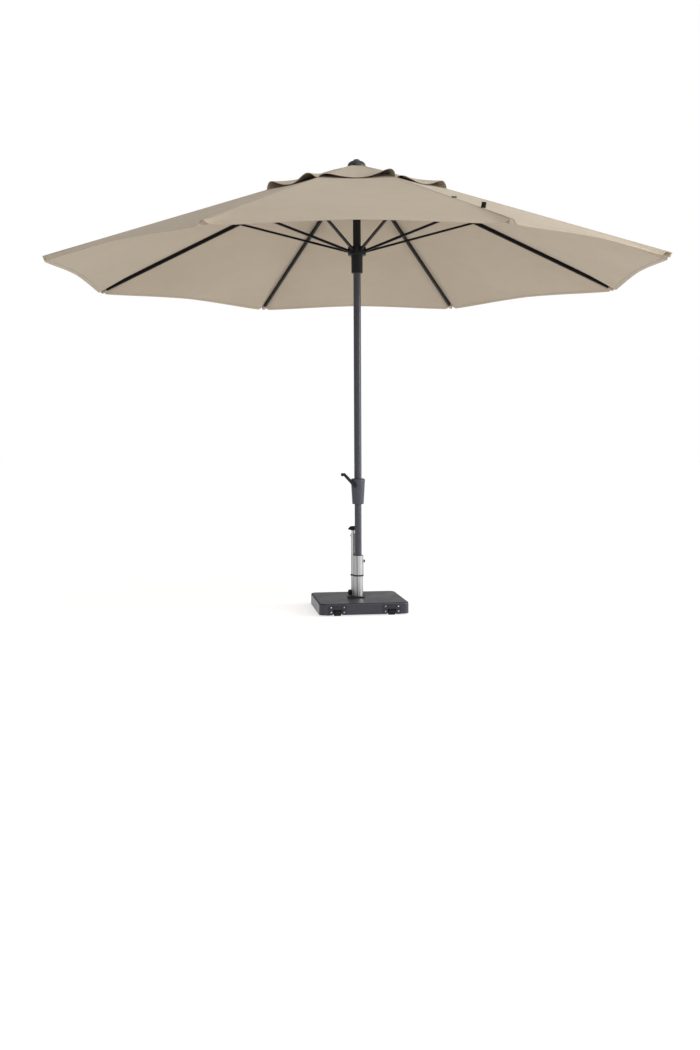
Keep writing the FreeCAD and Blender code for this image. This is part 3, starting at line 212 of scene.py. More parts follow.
def new_group(name, takes, gives):
    tree = bpy.data.node_groups.new(name, "ShaderNodeTree")
    for label, kind, value in takes:
        socket = tree.interface.new_socket(label, in_out="INPUT", socket_type=kind)
        if value is not None:
            socket.default_value = value
    for label, kind in gives:
        tree.interface.new_socket(label, in_out="OUTPUT", socket_type=kind)
    return tree, tree.nodes.new("NodeGroupInput"), tree.nodes.new("NodeGroupOutput")


def place_group(tree, group, **given):
    node = tree.nodes.new("ShaderNodeGroup")
    node.node_tree = group
    for name, value in given.items():
        feed(tree, node.inputs[name], value)
    return node


def group_weave():
    """Plain weave: warp and weft threads, with slubs, over a flat pair of coordinates in metres."""
    tree, takes, gives = new_group(
        "plain weave",
        [("Vector", "NodeSocketVector", None), ("Threads", "NodeSocketFloat", 700.0)],
        [("Height", "NodeSocketFloat"), ("Tone", "NodeSocketFloat")],
    )
    split = add(tree, "ShaderNodeSeparateXYZ")
    feed(tree, split.inputs[0], takes.outputs["Vector"])
    turn = maths(tree, "MULTIPLY", takes.outputs["Threads"], math.pi)
    across = maths(tree, "SINE", maths(tree, "MULTIPLY", split.outputs[0], turn))
    along = maths(tree, "SINE", maths(tree, "MULTIPLY", split.outputs[1], turn))
    over = maths(tree, "MULTIPLY", across, along)
    warp = maths(tree, "ABSOLUTE", across)
    weft = maths(tree, "ABSOLUTE", along)
    share = ramp(tree, over, -0.15, 0.15)
    height = maths(tree, "MULTIPLY", warp, share)
    rest = maths(tree, "MULTIPLY", weft, maths(tree, "SUBTRACT", 1.0, share))
    height = maths(tree, "ADD", height, rest)
    long_way = add(tree, "ShaderNodeMapping")
    feed(tree, long_way.inputs["Vector"], takes.outputs["Vector"])
    long_way.inputs["Scale"].default_value = (30.0, 900.0, 1.0)
    cross_way = add(tree, "ShaderNodeMapping")
    feed(tree, cross_way.inputs["Vector"], takes.outputs["Vector"])
    cross_way.inputs["Scale"].default_value = (900.0, 30.0, 1.0)
    slubs = maths(
        tree,
        "ADD",
        noise(tree, long_way.outputs[0], 1.0, 2.0),
        noise(tree, cross_way.outputs[0], 1.0, 2.0),
    )
    slubs = ramp(tree, slubs, 0.7, 1.3)
    feed(tree, gives.inputs["Height"], maths(tree, "MULTIPLY_ADD", slubs, 0.5, height))
    tone = maths(tree, "MULTIPLY_ADD", slubs, 0.7, maths(tree, "MULTIPLY", height, 0.3))
    feed(tree, gives.inputs["Tone"], tone)
    return tree


def group_clouds():
    """Broad soft patches, as of dust, sun or slight unevenness."""
    tree, takes, gives = new_group(
        "soft patches",
        [("Vector", "NodeSocketVector", None), ("Scale", "NodeSocketFloat", 4.0)],
        [("Mask", "NodeSocketFloat")],
    )
    broad = noise(tree, takes.outputs["Vector"], takes.outputs["Scale"], 4.0, 0.6)
    fine_scale = maths(tree, "MULTIPLY", takes.outputs["Scale"], 7.3)
    fine = noise(tree, takes.outputs["Vector"], fine_scale, 3.0, 0.6)
    both = maths(tree, "MULTIPLY_ADD", fine, 0.35, broad)
    feed(tree, gives.inputs["Mask"], ramp(tree, both, 0.48, 0.88))
    return tree


def group_edges():
    """Rubbed edges: where the rounded normal leaves the true one."""
    tree, takes, gives = new_group(
        "rubbed edges",
        [
            ("Vector", "NodeSocketVector", None),
            ("Width", "NodeSocketFloat", 0.0015),
            ("Amount", "NodeSocketFloat", 1.0),
        ],
        [("Mask", "NodeSocketFloat")],
    )
    rounded = add(tree, "ShaderNodeBevel", samples=4)
    feed(tree, rounded.inputs["Radius"], takes.outputs["Width"])
    true = add(tree, "ShaderNodeNewGeometry")
    same = add(tree, "ShaderNodeVectorMath", operation="DOT_PRODUCT")
    feed(tree, same.inputs[0], rounded.outputs[0])
    feed(tree, same.inputs[1], true.outputs["Normal"])
    bent = ramp(tree, same.outputs["Value"], 0.998, 0.9)
    broken = ramp(tree, noise(tree, takes.outputs["Vector"], 180.0, 4.0), 0.42, 0.62)
    mask = maths(tree, "MULTIPLY", bent, broken)
    feed(tree, gives.inputs["Mask"], maths(tree, "MULTIPLY", mask, takes.outputs["Amount"]))
    return tree


def group_grain():
    """Fine moulded or coated grain."""
    tree, takes, gives = new_group(
        "fine grain",
        [("Vector", "NodeSocketVector", None), ("Scale", "NodeSocketFloat", 1200.0)],
        [("Height", "NodeSocketFloat")],
    )
    cells = add(tree, "ShaderNodeTexVoronoi", feature="SMOOTH_F1")
    feed(tree, cells.inputs["Vector"], takes.outputs["Vector"])
    feed(tree, cells.inputs["Scale"], takes.outputs["Scale"])
    small = noise(tree, takes.outputs["Vector"], takes.outputs["Scale"], 3.0)
    feed(tree, gives.inputs["Height"], maths(tree, "ADD", cells.outputs["Distance"], small))
    return tree


def group_brushing_and_reflection_streaks():
    """Fine scratches that run along Z, over broad upright streaks; in the steel's colour the broad
    streaks are painted reflection stripes.
    """
    tree, takes, gives = new_group(
        "brushing_and_reflection_streaks",
        [("Vector", "NodeSocketVector", None)],
        [("Brushing and reflection streaks", "NodeSocketFloat")],
    )
    stretch = add(tree, "ShaderNodeMapping")
    feed(tree, stretch.inputs["Vector"], takes.outputs["Vector"])
    stretch.inputs["Scale"].default_value = (900.0, 900.0, 9.0)
    fine = noise(tree, stretch.outputs[0], 1.0, 3.0)
    wide = add(tree, "ShaderNodeMapping")
    feed(tree, wide.inputs["Vector"], takes.outputs["Vector"])
    wide.inputs["Scale"].default_value = (75.0, 75.0, 0.8)
    broad = noise(tree, wide.outputs[0], 1.0, 2.0)
    feed(tree, gives.inputs["Brushing and reflection streaks"], maths(tree, "MULTIPLY_ADD", fine, 0.4, broad))
    return tree


def group_speckle():
    """Mineral flecks of three sizes."""
    tree, takes, gives = new_group(
        "mineral flecks",
        [("Vector", "NodeSocketVector", None)],
        [("Light", "NodeSocketFloat"), ("Dark", "NodeSocketFloat"), ("Tone", "NodeSocketFloat")],
    )
    vector = takes.outputs["Vector"]
    light = add(tree, "ShaderNodeTexVoronoi")
    feed(tree, light.inputs["Vector"], vector)
    light.inputs["Scale"].default_value = 420.0
    share = add(tree, "ShaderNodeSeparateColor")
    feed(tree, share.inputs[0], light.outputs["Color"])
    feed(tree, gives.inputs["Light"], ramp(tree, share.outputs[0], 0.8, 0.95))
    dark = add(tree, "ShaderNodeTexVoronoi")
    feed(tree, dark.inputs["Vector"], vector)
    dark.inputs["Scale"].default_value = 260.0
    part = add(tree, "ShaderNodeSeparateColor")
    feed(tree, part.inputs[0], dark.outputs["Color"])
    feed(tree, gives.inputs["Dark"], ramp(tree, part.outputs[1], 0.7, 0.9))
    feed(tree, gives.inputs["Tone"], noise(tree, vector, 60.0, 4.0))
    return tree


GROUPS = {
    "weave": group_weave(),
    "clouds": group_clouds(),
    "edges": group_edges(),
    "grain": group_grain(),
    "brushing_and_reflection_streaks": group_brushing_and_reflection_streaks(),
    "speckle": group_speckle(),
}


def new_material(name):
    material = bpy.data.materials.new(name)
    material.use_nodes = True
    tree = material.node_tree
    return material, tree, tree.nodes["Principled BSDF"]


def bump(tree, shader, height, depth, strength=1.0):
    node = add(tree, "ShaderNodeBump")
    node.inputs["Strength"].default_value = strength
    node.inputs["Distance"].default_value = depth
    feed(tree, node.inputs["Height"], height)
    feed(tree, shader.inputs["Normal"], node.outputs[0])


def object_place(tree):
    return add(tree, "ShaderNodeTexCoord").outputs["Object"]


def colour(red, green, blue):
    return (red, green, blue, 1.0)


def cloth_material(name, light, dark, seam_shade):
    """Woven awning cloth. Its UV is metres: X across from the rib, Y out from the pole."""
    material, tree, shader = new_material(name)
    flat = add(tree, "ShaderNodeUVMap", uv_map="cloth")
    weave = place_group(tree, GROUPS["weave"], Vector=flat.outputs[0], Threads=1100.0)
    patches = place_group(tree, GROUPS["clouds"], Vector=object_place(tree), Scale=1.6)
    shade = maths(tree, "MULTIPLY_ADD", weave.outputs["Tone"], 0.35, 0.12)
    shade = maths(tree, "MULTIPLY_ADD", patches.outputs["Mask"], 0.35, shade)
    base = blend_colour(tree, shade, light, dark)
    split = add(tree, "ShaderNodeSeparateXYZ")
    feed(tree, split.inputs[0], flat.outputs[0])
    # Painted shade: the colour darkens towards the dark tone within 16 mm of UV X = 0 (fully within 11
    # mm), the strip beside the raised seam band over the rib, by seam_shade.
    off_rib = maths(tree, "ABSOLUTE", split.outputs[0])
    seam = ramp(tree, off_rib, 0.016, 0.011)
    base = blend_colour(tree, maths(tree, "MULTIPLY", seam, seam_shade), base, dark)
    feed(tree, shader.inputs["Base Color"], base)
    feed(tree, shader.inputs["Roughness"], ramp(tree, weave.outputs["Tone"], 0.0, 1.0, 0.78, 0.95))
    shader.inputs["Specular IOR Level"].default_value = 0.25
    shader.inputs["Sheen Weight"].default_value = 0.12
    shader.inputs["Sheen Roughness"].default_value = 0.5
    shader.inputs["Subsurface Weight"].default_value = 0.25
    shader.inputs["Subsurface Radius"].default_value = (1.0, 0.85, 0.65)
    shader.inputs["Subsurface Scale"].default_value = 0.003
    bump(tree, shader, weave.outputs["Height"], 0.0004, 0.6)
    return material


def stitched_material(name, light, dark):
    """Doubled cloth with two rows of stitches. UV X is metres across, Y metres along."""
    material, tree, shader = new_material(name)
    flat = add(tree, "ShaderNodeUVMap", uv_map="cloth")
    weave = place_group(tree, GROUPS["weave"], Vector=flat.outputs[0], Threads=1100.0)
    split = add(tree, "ShaderNodeSeparateXYZ")
    feed(tree, split.inputs[0], flat.outputs[0])
    off_line = maths(tree, "SUBTRACT", maths(tree, "ABSOLUTE", split.outputs[0]), 0.0065)
    row = ramp(tree, maths(tree, "ABSOLUTE", off_line), 0.0011, 0.0006)
    beat = maths(tree, "FRACT", maths(tree, "MULTIPLY", split.outputs[1], 220.0))
    dash = ramp(tree, maths(tree, "ABSOLUTE", maths(tree, "SUBTRACT", beat, 0.5)), 0.38, 0.3)
    stitch = maths(tree, "MULTIPLY", row, dash)
    patches = place_group(tree, GROUPS["clouds"], Vector=object_place(tree), Scale=3.0)
    shade = maths(tree, "MULTIPLY_ADD", weave.outputs["Tone"], 0.35, 0.1)
    shade = maths(tree, "MULTIPLY_ADD", patches.outputs["Mask"], 0.3, shade)
    base = blend_colour(tree, shade, light, dark)
    base = blend_colour(tree, maths(tree, "MULTIPLY", row, 0.35), base, dark)
    base = blend_colour(tree, maths(tree, "MULTIPLY", stitch, 0.7), base, light)
    feed(tree, shader.inputs["Base Color"], base)
    feed(tree, shader.inputs["Roughness"], ramp(tree, weave.outputs["Tone"], 0.0, 1.0, 0.78, 0.95))
    shader.inputs["Specular IOR Level"].default_value = 0.25
    shader.inputs["Sheen Weight"].default_value = 0.12
    height = maths(tree, "MULTIPLY_ADD", weave.outputs["Height"], 0.35, stitch)
    height = maths(tree, "SUBTRACT", height, maths(tree, "MULTIPLY", row, 0.8))
    bump(tree, shader, height, 0.0008, 0.7)
    return material


def granite_material():
    material, tree, shader = new_material("honed_granite")
    place = object_place(tree)
    flecks = place_group(tree, GROUPS["speckle"], Vector=place)
    patches = place_group(tree, GROUPS["clouds"], Vector=place, Scale=7.0)
    worn = place_group(tree, GROUPS["edges"], Vector=place, Width=0.003, Amount=0.5)
    base = blend_colour(
        tree, flecks.outputs["Tone"], colour(0.011, 0.011, 0.019), colour(0.019, 0.019, 0.033)
    )
    dark = maths(tree, "MULTIPLY", flecks.outputs["Dark"], 0.7)
    base = blend_colour(tree, dark, base, colour(0.008, 0.008, 0.013))
    light = maths(tree, "MULTIPLY", flecks.outputs["Light"], 0.45)
    base = blend_colour(tree, light, base, colour(0.052, 0.052, 0.078))
    dust = maths(tree, "MULTIPLY", patches.outputs["Mask"], 0.04)
    base = blend_colour(tree, dust, base, colour(0.2, 0.19, 0.18))
    base = blend_colour(tree, worn.outputs["Mask"], base, colour(0.11, 0.11, 0.135))
    feed(tree, shader.inputs["Base Color"], base)
    feed(
        tree,
        shader.inputs["Roughness"],
        ramp(tree, patches.outputs["Mask"], 0.0, 1.0, 0.26, 0.42),
    )
    bump(tree, shader, flecks.outputs["Dark"], 0.0003, 0.3)
    return material


def steel_material():
    material, tree, shader = new_material("brushed_stainless")
    place = object_place(tree)
    brushing_and_reflection = place_group(tree, GROUPS["brushing_and_reflection_streaks"], Vector=place)
    patches = place_group(tree, GROUPS["clouds"], Vector=place, Scale=22.0)
    # Painted reflection: the broad upright dark and bright streaks in the steel's colour stand in for
    # reflected studio panels; the fine scratches are real brushing.
    tone = ramp(tree, brushing_and_reflection.outputs["Brushing and reflection streaks"], 0.5, 0.9)
    base = blend_colour(tree, tone, colour(0.17, 0.17, 0.175), colour(0.68, 0.675, 0.68))
    smear = maths(tree, "MULTIPLY", patches.outputs["Mask"], 0.18)
    base = blend_colour(tree, smear, base, colour(0.42, 0.41, 0.40))
    feed(tree, shader.inputs["Base Color"], base)
    shader.inputs["Metallic"].default_value = 1.0
    feed(tree, shader.inputs["Roughness"], ramp(tree, tone, 0.0, 1.0, 0.26, 0.38))
    bump(tree, shader, brushing_and_reflection.outputs["Brushing and reflection streaks"], 0.0001, 0.35)
    return material


def coated_material(name, light, dark, rough, gloss=0.5, metal=0.0):
    """Powder coat: fine orange peel, rubbed edges and a little dust."""
    material, tree, shader = new_material(name)
    place = object_place(tree)
    grain = place_group(tree, GROUPS["grain"], Vector=place, Scale=900.0)
    patches = place_group(tree, GROUPS["clouds"], Vector=place, Scale=9.0)
    worn = place_group(tree, GROUPS["edges"], Vector=place, Width=0.001, Amount=0.45)
    base = blend_colour(tree, patches.outputs["Mask"], dark, light)
    rub = tuple(min(1.0, 2.4 * value + 0.03) for value in light[:3]) + (1.0,)
    base = blend_colour(tree, worn.outputs["Mask"], base, rub)
    feed(tree, shader.inputs["Base Color"], base)
    shader.inputs["Metallic"].default_value = metal
    feed(
        tree,
        shader.inputs["Roughness"],
        ramp(tree, patches.outputs["Mask"], 0.0, 1.0, rough - 0.05, rough + 0.07),
    )
    shader.inputs["Specular IOR Level"].default_value = gloss
    bump(tree, shader, grain.outputs["Height"], 0.00015, 0.35)
    return material


def moulded_material(name, light, dark, rough, gloss=0.4, grain_scale=1500.0):
    """Moulded plastic: fine grain, soft patches, rubbed corners."""
    material, tree, shader = new_material(name)
    place = object_place(tree)
    grain = place_group(tree, GROUPS["grain"], Vector=place, Scale=grain_scale)
    patches = place_group(tree, GROUPS["clouds"], Vector=place, Scale=14.0)
    worn = place_group(tree, GROUPS["edges"], Vector=place, Width=0.0012, Amount=0.5)
    base = blend_colour(tree, patches.outputs["Mask"], dark, light)
    rub = tuple(min(1.0, 1.9 * value + 0.02) for value in light[:3]) + (1.0,)
    base = blend_colour(tree, worn.outputs["Mask"], base, rub)
    feed(tree, shader.inputs["Base Color"], base)
    feed(
        tree,
        shader.inputs["Roughness"],
        ramp(tree, grain.outputs["Height"], 0.2, 1.4, rough - 0.06, rough + 0.08),
    )
    shader.inputs["Specular IOR Level"].default_value = gloss
    bump(tree, shader, grain.outputs["Height"], 0.00012, 0.5)
    return material


CLOTH_LIGHT = colour(0.402, 0.334, 0.252)
CLOTH_DARK = colour(0.322, 0.266, 0.198)
FINISH = {
    "cloth": cloth_material("awning_cloth", CLOTH_LIGHT, CLOTH_DARK, 0.5),
    "stitched": stitched_material("stitched_cloth", CLOTH_LIGHT, CLOTH_DARK),
    "granite": granite_material(),
    "steel": steel_material(),
    "anthracite": coated_material(
        "anthracite_coat",
        colour(0.040, 0.043, 0.056),
        colour(0.028, 0.030, 0.041),
        0.36,
        gloss=0.6,
        metal=0.15,
    ),
    "black_coat": coated_material(
        "black_coat", colour(0.0045, 0.0045, 0.0055), colour(0.003, 0.003, 0.0035), 0.5, 0.16
    ),
    "dark_steel": coated_material(
        "dark_steel_coat", colour(0.018, 0.018, 0.021), colour(0.012, 0.012, 0.014), 0.42, 0.3
    ),
    "bracket": coated_material(
        "bracket_coat", colour(0.022, 0.022, 0.033), colour(0.015, 0.015, 0.024), 0.44, 0.3
    ),
    "black_plastic": moulded_material(
        "black_moulding", colour(0.008, 0.008, 0.010), colour(0.005, 0.005, 0.006), 0.5, 0.25
    ),
    "housing": moulded_material(
        "grey_moulding", colour(0.056, 0.058, 0.074), colour(0.042, 0.044, 0.058), 0.36
    ),
    "finial": moulded_material(
        "cap_moulding", colour(0.026, 0.025, 0.028), colour(0.014, 0.013, 0.016), 0.36
    ),
    "webbing": moulded_material(
        "black_webbing", colour(0.008, 0.008, 0.009), colour(0.004, 0.004, 0.005), 0.8, 0.15, 900.0
    ),
    "rubber": moulded_material(
        "rubber", colour(0.010, 0.010, 0.011), colour(0.007, 0.007, 0.008), 0.7, 0.2, 700.0
    ),
}
SLOT_FINISH = {
    "granite": "granite",
    "rubber": "rubber",
    "stainless_steel": "steel",
    "dark_steel": "dark_steel",
    "black_plastic": "black_plastic",
    "housing_plastic": "housing",
    "finial_plastic": "finial",
    "grey_coated_tube": "anthracite",
    "black_coated_rib": "black_coat",
    "canopy_cloth": "cloth",
}
NODE_FINISH = {"wheel_brackets": "bracket"}


def finish_nodes():
    slots = {row["node"]: row["material_slot"] for row in frame["record"]["subparts"]}
    for name, node in frame["nodes"].items():
        material = FINISH[NODE_FINISH.get(name, SLOT_FINISH[slots[name]])]
        if not node.material_slots:
            node.data.materials.append(material)
        for held in node.material_slots:
            held.material = material


# Canopy.


def rib_turn(number):
    return math.radians(-67.5 + 45.0 * (number - 1))


def ridge_height(reach, lift):
    """Height of the line that runs lift above the ribs, at a distance from the pole."""
    start = RIB_START.x + lift * math.sin(RIB_SLOPE)
    top = RIB_START.z + lift * math.cos(RIB_SLOPE)
    return top - (reach - start) * math.tan(RIB_SLOPE)


def flat_gore(reach, share, lift):
    """A point of the flat gores beside a rib that lies on azimuth 0.

    share runs from -1 to 1, from mid-gore on one side to mid-gore on the other.
    """
    back = reach * math.sin(HALF_GORE)
    return Vector(
        (
            reach - abs(share) * back * math.sin(HALF_GORE),
            share * back * math.cos(HALF_GORE),
            ridge_height(reach, lift),
        )
    )


def main_cloth(number):
    """The main cloth: it sags a little between the ribs, its hem bows in, and it hangs at the tips."""
    hem_open = TIP_OPEN.get(number, 0.008)

    def place(reach, share):
        t = (reach - MAIN_INNER) / (MAIN_OUTER - MAIN_INNER)
        bow = HEM_BOW * t**3 * (1 - (1 - abs(share)) ** 2)
        point = flat_gore(reach - bow, share, MAIN_LIFT)
        sag = math.sin(math.pi * min(1.0, 0.15 + 0.85 * t)) ** 0.6 if t < 0.999 else 0.0
        across = 1 - (1 - abs(share)) ** 2
        near_tip = max(0.0, (t - 0.72) / 0.28) ** 1.6
        off_rib = abs(point.y)
        beside = min(1.0, max(0.0, off_rib - hem_open) / 0.028)
        wrap = beside * beside * (3 - 2 * beside) * math.exp(-((off_rib / 0.46) ** 2))
        point.z -= CLOTH_SAG * sag * across + TIP_WRAP * near_tip * wrap
        return point

    return place


# Each half gore's ripple in the vent's free edge: its height, and how far from the rib its top is.
RIPPLES = {
    1: ((0.020, 0.62), (0.044, 0.40)),
    2: ((0.034, 0.60), (0.038, 0.48)),
    3: ((0.036, 0.45), (0.026, 0.75)),
    4: ((0.040, 0.42), (0.034, 0.60)),
    5: ((0.026, 0.65), (0.040, 0.45)),
    6: ((0.038, 0.48), (0.030, 0.70)),
    7: ((0.046, 0.38), (0.044, 0.80)),
    8: ((0.024, 0.45), (0.050, 0.36)),
}


def vent_cloth(number):
    """The loose top layer: flat at the top, with a free edge that ripples between the ribs."""
    after = RIPPLES[number][0]
    before = RIPPLES[number - 1 if number > 1 else 8][1]

    def place(reach, share):
        point = flat_gore(reach, share, VENT_LIFT)
        t = max(0.0, (reach - VENT_LOOSE) / (VENT_OUTER - VENT_LOOSE))
        u = abs(share)
        height, lean = after if share > 0 else before
        ripple = math.sin(math.pi * min(1.0, u**lean)) ** 2
        droop = 0.006 * (1 - (1 - u) ** 2) * min(1.0, reach / VENT_LOOSE)
        tuck = 0.011 * max(0.0, 1 - reach / 0.16)
        point.z += height * ripple * t**2.4 - droop * (1 - t) - 0.002 * u * t - tuck
        return point

    return place


def steps(start, end, count):
    return [start + (end - start) * i / count for i in range(count + 1)]


def make_sheet(name, number, surface, reaches, shares, thick=CLOTH_THICK, drop=0.0):
    """A thin sheet over one rib: rows out from the pole, columns across the rib."""
    turn = Matrix.Rotation(rib_turn(number), 4, "Z")
    mesh = bpy.data.meshes.new(name)
    grid = bmesh.new()
    cloth = grid.loops.layers.uv.new("cloth")
    rows = []
    for reach in reaches:
        row = []
        for share in shares:
            point = surface(reach, share)
            point.z -= drop
            row.append((grid.verts.new(turn @ point), (point.y, point.x / math.cos(RIB_SLOPE))))
        rows.append(row)
    for lower, upper in zip(rows, rows[1:]):
        for i in range(len(shares) - 1):
            corners = (lower[i], upper[i], upper[i + 1], lower[i + 1])
            face = grid.faces.new([corner[0] for corner in corners])
            face.smooth = True
            for loop, corner in zip(face.loops, corners):
                loop[cloth].uv = corner[1]
    grid.normal_update()
    if grid.faces[:][0].normal.z < 0:
        bmesh.ops.reverse_faces(grid, faces=grid.faces)
    grid.to_mesh(mesh)
    grid.free()
    sheet = bpy.data.objects.new(name, mesh)
    bpy.context.scene.collection.objects.link(sheet)
    wall = sheet.modifiers.new("thickness", "SOLIDIFY")
    wall.thickness = thick
    wall.offset = 1.0
    apply_modifiers(sheet)
    smooth(sheet)
    return sheet


def smooth(piece, angle=35.0):
    """Smooth shading, with creases where faces meet at more than an angle."""
    bpy.ops.object.select_all(action="DESELECT")
    bpy.context.view_layer.objects.active = piece
    piece.select_set(True)
    bpy.ops.object.shade_smooth_by_angle(angle=math.radians(angle))
    piece.select_set(False)


def apply_modifiers(piece):
    bpy.ops.object.select_all(action="DESELECT")
    bpy.context.view_layer.objects.active = piece
    piece.select_set(True)
    for modifier in list(piece.modifiers):
        bpy.ops.object.modifier_apply(modifier=modifier.name)
    piece.select_set(False)


def dress_cloth(piece, number, material="cloth"):
    piece.data.materials.clear()
    piece.data.materials.append(FINISH[material])
    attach(piece, f"rib_{number}")


def gather(piece, side):
    """Gives the half gore a mesh of its own; the directions down its slope and across towards mid-gore
    are worked out but not used.
    """
    down = Vector((math.cos(RIB_SLOPE), 0.0, -math.sin(RIB_SLOPE)))
    across = Vector((-math.sin(HALF_GORE), side * math.cos(HALF_GORE), 0.0))
    across -= across.dot(down) * down
    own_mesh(piece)


def band_share(reach, half_width):
    """The share across the rib that a narrow band of a given half width takes."""
    full = reach * math.sin(HALF_GORE) * math.cos(HALF_GORE)
    return half_width / full


def make_band(name, number, surface, reaches, half_width, thick, raise_by):
    """A sewn band along a rib, as wide all the way down."""
    columns = steps(-1.0, 1.0, 6)

    def place(reach, share):
        point = surface(reach, share * band_share(reach, half_width))
        point.z += raise_by
        return point

    return make_sheet(name, number, place, reaches, columns, thick)


def make_hem(name, number, surface, outer, width, shares, drop):
    """The edge turned under and sewn: a second thickness below the cloth's edge."""
    return make_sheet(
        name,
        number,
        surface,
        steps(outer - width, outer - 0.0004, 3),
        shares,
        thick=0.0016,
        drop=drop,
    )


def make_pocket(number):
    """The cloth pocket over a rib's end: a flattened sleeve with a closed, rounded end."""
    bpy.ops.mesh.primitive_cube_add(size=1.0, location=(0.0, 0.0, 0.0))
    pocket = bpy.context.object
    pocket.name = f"pocket_{number}"
    pocket.data.name = pocket.name
    grid = bmesh.new()
    grid.from_mesh(pocket.data)
    along = (1.999, 2.0475)
    for corner in grid.verts:
        outer = corner.co.x > 0
        wide = 0.0112 if outer else 0.0128
        low, high = (-0.0150, 0.0144) if outer else (-0.0165, 0.0146)
        corner.co = Vector(
            (
                along[1] if outer else along[0],
                wide if corner.co.y > 0 else -wide,
                high if corner.co.z > 0 else low,
            )
        )
    bmesh.ops.subdivide_edges(grid, edges=grid.edges[:], cuts=3, use_grid_fill=True)
    for corner in grid.verts:
        t = (corner.co.x - along[0]) / (along[1] - along[0])
        corner.co.z += 0.0012 * math.sin(9.0 * t + number) * (1 if corner.co.z > 0 else -1)
        corner.co.y += 0.0010 * math.sin(11.0 * t + 2.0 * number)
    grid.to_mesh(pocket.data)
    grid.free()
    soft = pocket.modifiers.new("rounding", "SUBSURF")
    soft.levels = 2
    soft.render_levels = 2
    apply_modifiers(pocket)
    layer = pocket.data.uv_layers.new(name="cloth")
    for loop in pocket.data.loops:
        spot = pocket.data.vertices[loop.vertex_index].co
        layer.data[loop.index].uv = (spot.y + spot.z * 0.7, spot.x)
    place = (
        Matrix.Rotation(rib_turn(number), 4, "Z")
        @ Matrix.Translation(RIB_START)
        @ Matrix.Rotation(RIB_SLOPE, 4, "Y")
    )
    pocket.data.transform(place)
    smooth(pocket, 80.0)
    pocket.data.materials.clear()
    pocket.data.materials.append(FINISH["cloth"])
    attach(pocket, f"rib_{number}")
    return pocket


def side_name(side):
    return "left" if side > 0 else "right"


def make_half(name, number, side, surface, rows, hem_width):
    """Half a gore, from the rib to mid-gore, with its turned hem."""
    shares = [side * (i / 17) ** 1.6 for i in range(18)]
    half = make_sheet(f"{name}_{number}_{side_name(side)}", number, surface, rows, shares)
    dress_cloth(half, number)
    gather(half, side)
    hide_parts(f"canopy_{number}")
    hem = make_hem(
        f"{name}_hem_{number}_{side_name(side)}", number, surface, rows[-1], hem_width, shares, 0.0015
    )
    dress_cloth(hem, number)
    gather(hem, side)
    return half, hem


def make_canopy():
    main_rows = steps(MAIN_INNER, MAIN_OUTER - 0.04, 34) + [MAIN_OUTER - 0.02, MAIN_OUTER]
    vent_rows = steps(VENT_INNER, VENT_LOOSE, 6) + steps(VENT_LOOSE, VENT_OUTER, 16)[1:]
    for number in RIBS:
        spread = main_cloth(number)
        seam = make_band(
            f"seam_{number}",
            number,
            spread,
            steps(MAIN_INNER + 0.002, MAIN_OUTER - 0.002, 26),
            MAIN_SEAM,
            SEAM_THICK,
            SEAM_RAISE,
        )
        dress_cloth(seam, number, "stitched")
        sewn = [seam, make_pocket(number)]
        for side in (1, -1):
            half, hem = make_half(
                "cloth", number, side, spread, main_rows, MAIN_HEM
            )
            sewn = []
        place = vent_cloth(number)
        vent_seam = make_band(
            f"vent_seam_{number}",
            number,
            place,
            steps(VENT_INNER + 0.002, VENT_OUTER - 0.001, 16),
            VENT_SEAM,
            SEAM_THICK,
            SEAM_RAISE,
        )
        dress_cloth(vent_seam, number, "stitched")
        sewn = [vent_seam]
        for side in (1, -1):
            half, hem = make_half(
                "vent", number, side, place, vent_rows, VENT_HEM
            )
            sewn = []


# Small parts of their own.


def start_piece(name):
    """Names the primitive that was just added."""
    piece = bpy.context.object
    piece.name = name
    piece.data.name = name
    return piece


def settle(piece):
    """Applies the piece's scale and turn, then puts its origin at the frame's."""
    bpy.ops.object.select_all(action="DESELECT")
    bpy.context.view_layer.objects.active = piece
    piece.select_set(True)
    bpy.ops.object.transform_apply(location=True, rotation=True, scale=True)
    piece.select_set(False)


def finish_piece(piece, material, rides):
    piece.data.materials.clear()
    piece.data.materials.append(FINISH[material])
    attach(piece, rides)


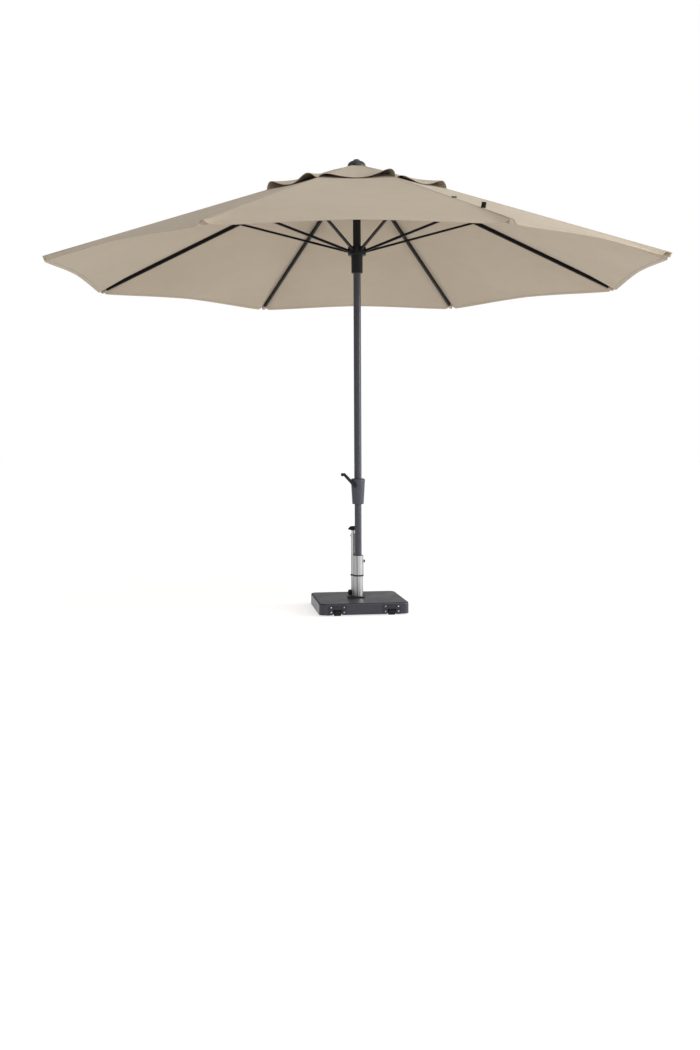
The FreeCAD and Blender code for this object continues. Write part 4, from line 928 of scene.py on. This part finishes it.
def make_pole_shade_cover():
    """A black tube over the pole above the runner, under the hub: a dark piece put where the pole lies
    in the canopy's shade, so painted shade.
    """
    bpy.ops.object.select_all(action="DESELECT")
    bpy.ops.mesh.primitive_cylinder_add(
        vertices=64, radius=0.0256, depth=0.428, end_fill_type="NOTHING", location=(0.0, 0.0, 2.578)
    )
    sleeve = start_piece("pole_shade_cover")
    bpy.ops.object.mode_set(mode="EDIT")
    bpy.ops.mesh.select_all(action="SELECT")
    bpy.ops.mesh.extrude_region_shrink_fatten(TRANSFORM_OT_shrink_fatten={"value": -0.0014})
    bpy.ops.mesh.select_all(action="SELECT")
    bpy.ops.mesh.normals_make_consistent(inside=False)
    bpy.ops.object.mode_set(mode="OBJECT")
    settle(sleeve)
    smooth(sleeve)
    finish_piece(sleeve, "black_plastic", "mast")


def rib_spot(number, reach, lift):
    """A place on a rib's seam, at a reach from the pole and a lift above the cloth.

    X runs down the rib.
    """
    height = ridge_height(reach, MAIN_LIFT + lift)
    return (
        Matrix.Rotation(rib_turn(number), 4, "Z")
        @ Matrix.Translation((reach, 0.0, height))
        @ Matrix.Rotation(RIB_SLOPE, 4, "Y")
    )


def make_seam_loop(name, number, reach, long, wide, tall):
    """A loop of black webbing, sewn flat, that stands up across a rib's seam."""
    bpy.ops.object.select_all(action="DESELECT")
    bpy.ops.mesh.primitive_cube_add(size=1.0, location=(0.0, 0.0, 0.0))
    loop = start_piece(name)
    loop.scale = (long, wide, tall)
    settle(loop)
    rounding = loop.modifiers.new("rounding", "BEVEL")
    rounding.width = long * 0.4
    rounding.segments = 2
    apply_modifiers(loop)
    loop.matrix_world = rib_spot(number, reach, CLOTH_THICK + tall / 2)
    settle(loop)
    smooth(loop)
    dress_cloth(loop, number, "webbing")


def make_small_parts():
    make_pole_shade_cover()
    make_seam_loop("seam_loop_outer", 1, 1.71, 0.0034, 0.027, 0.031)
    make_seam_loop("seam_loop_inner", 1, 1.38, 0.0034, 0.031, 0.007)


make_camera()
make_world()
make_lights()
make_floor()
bpy.context.scene.view_settings.view_transform = "Standard"
finish_nodes()
make_canopy()
make_small_parts()
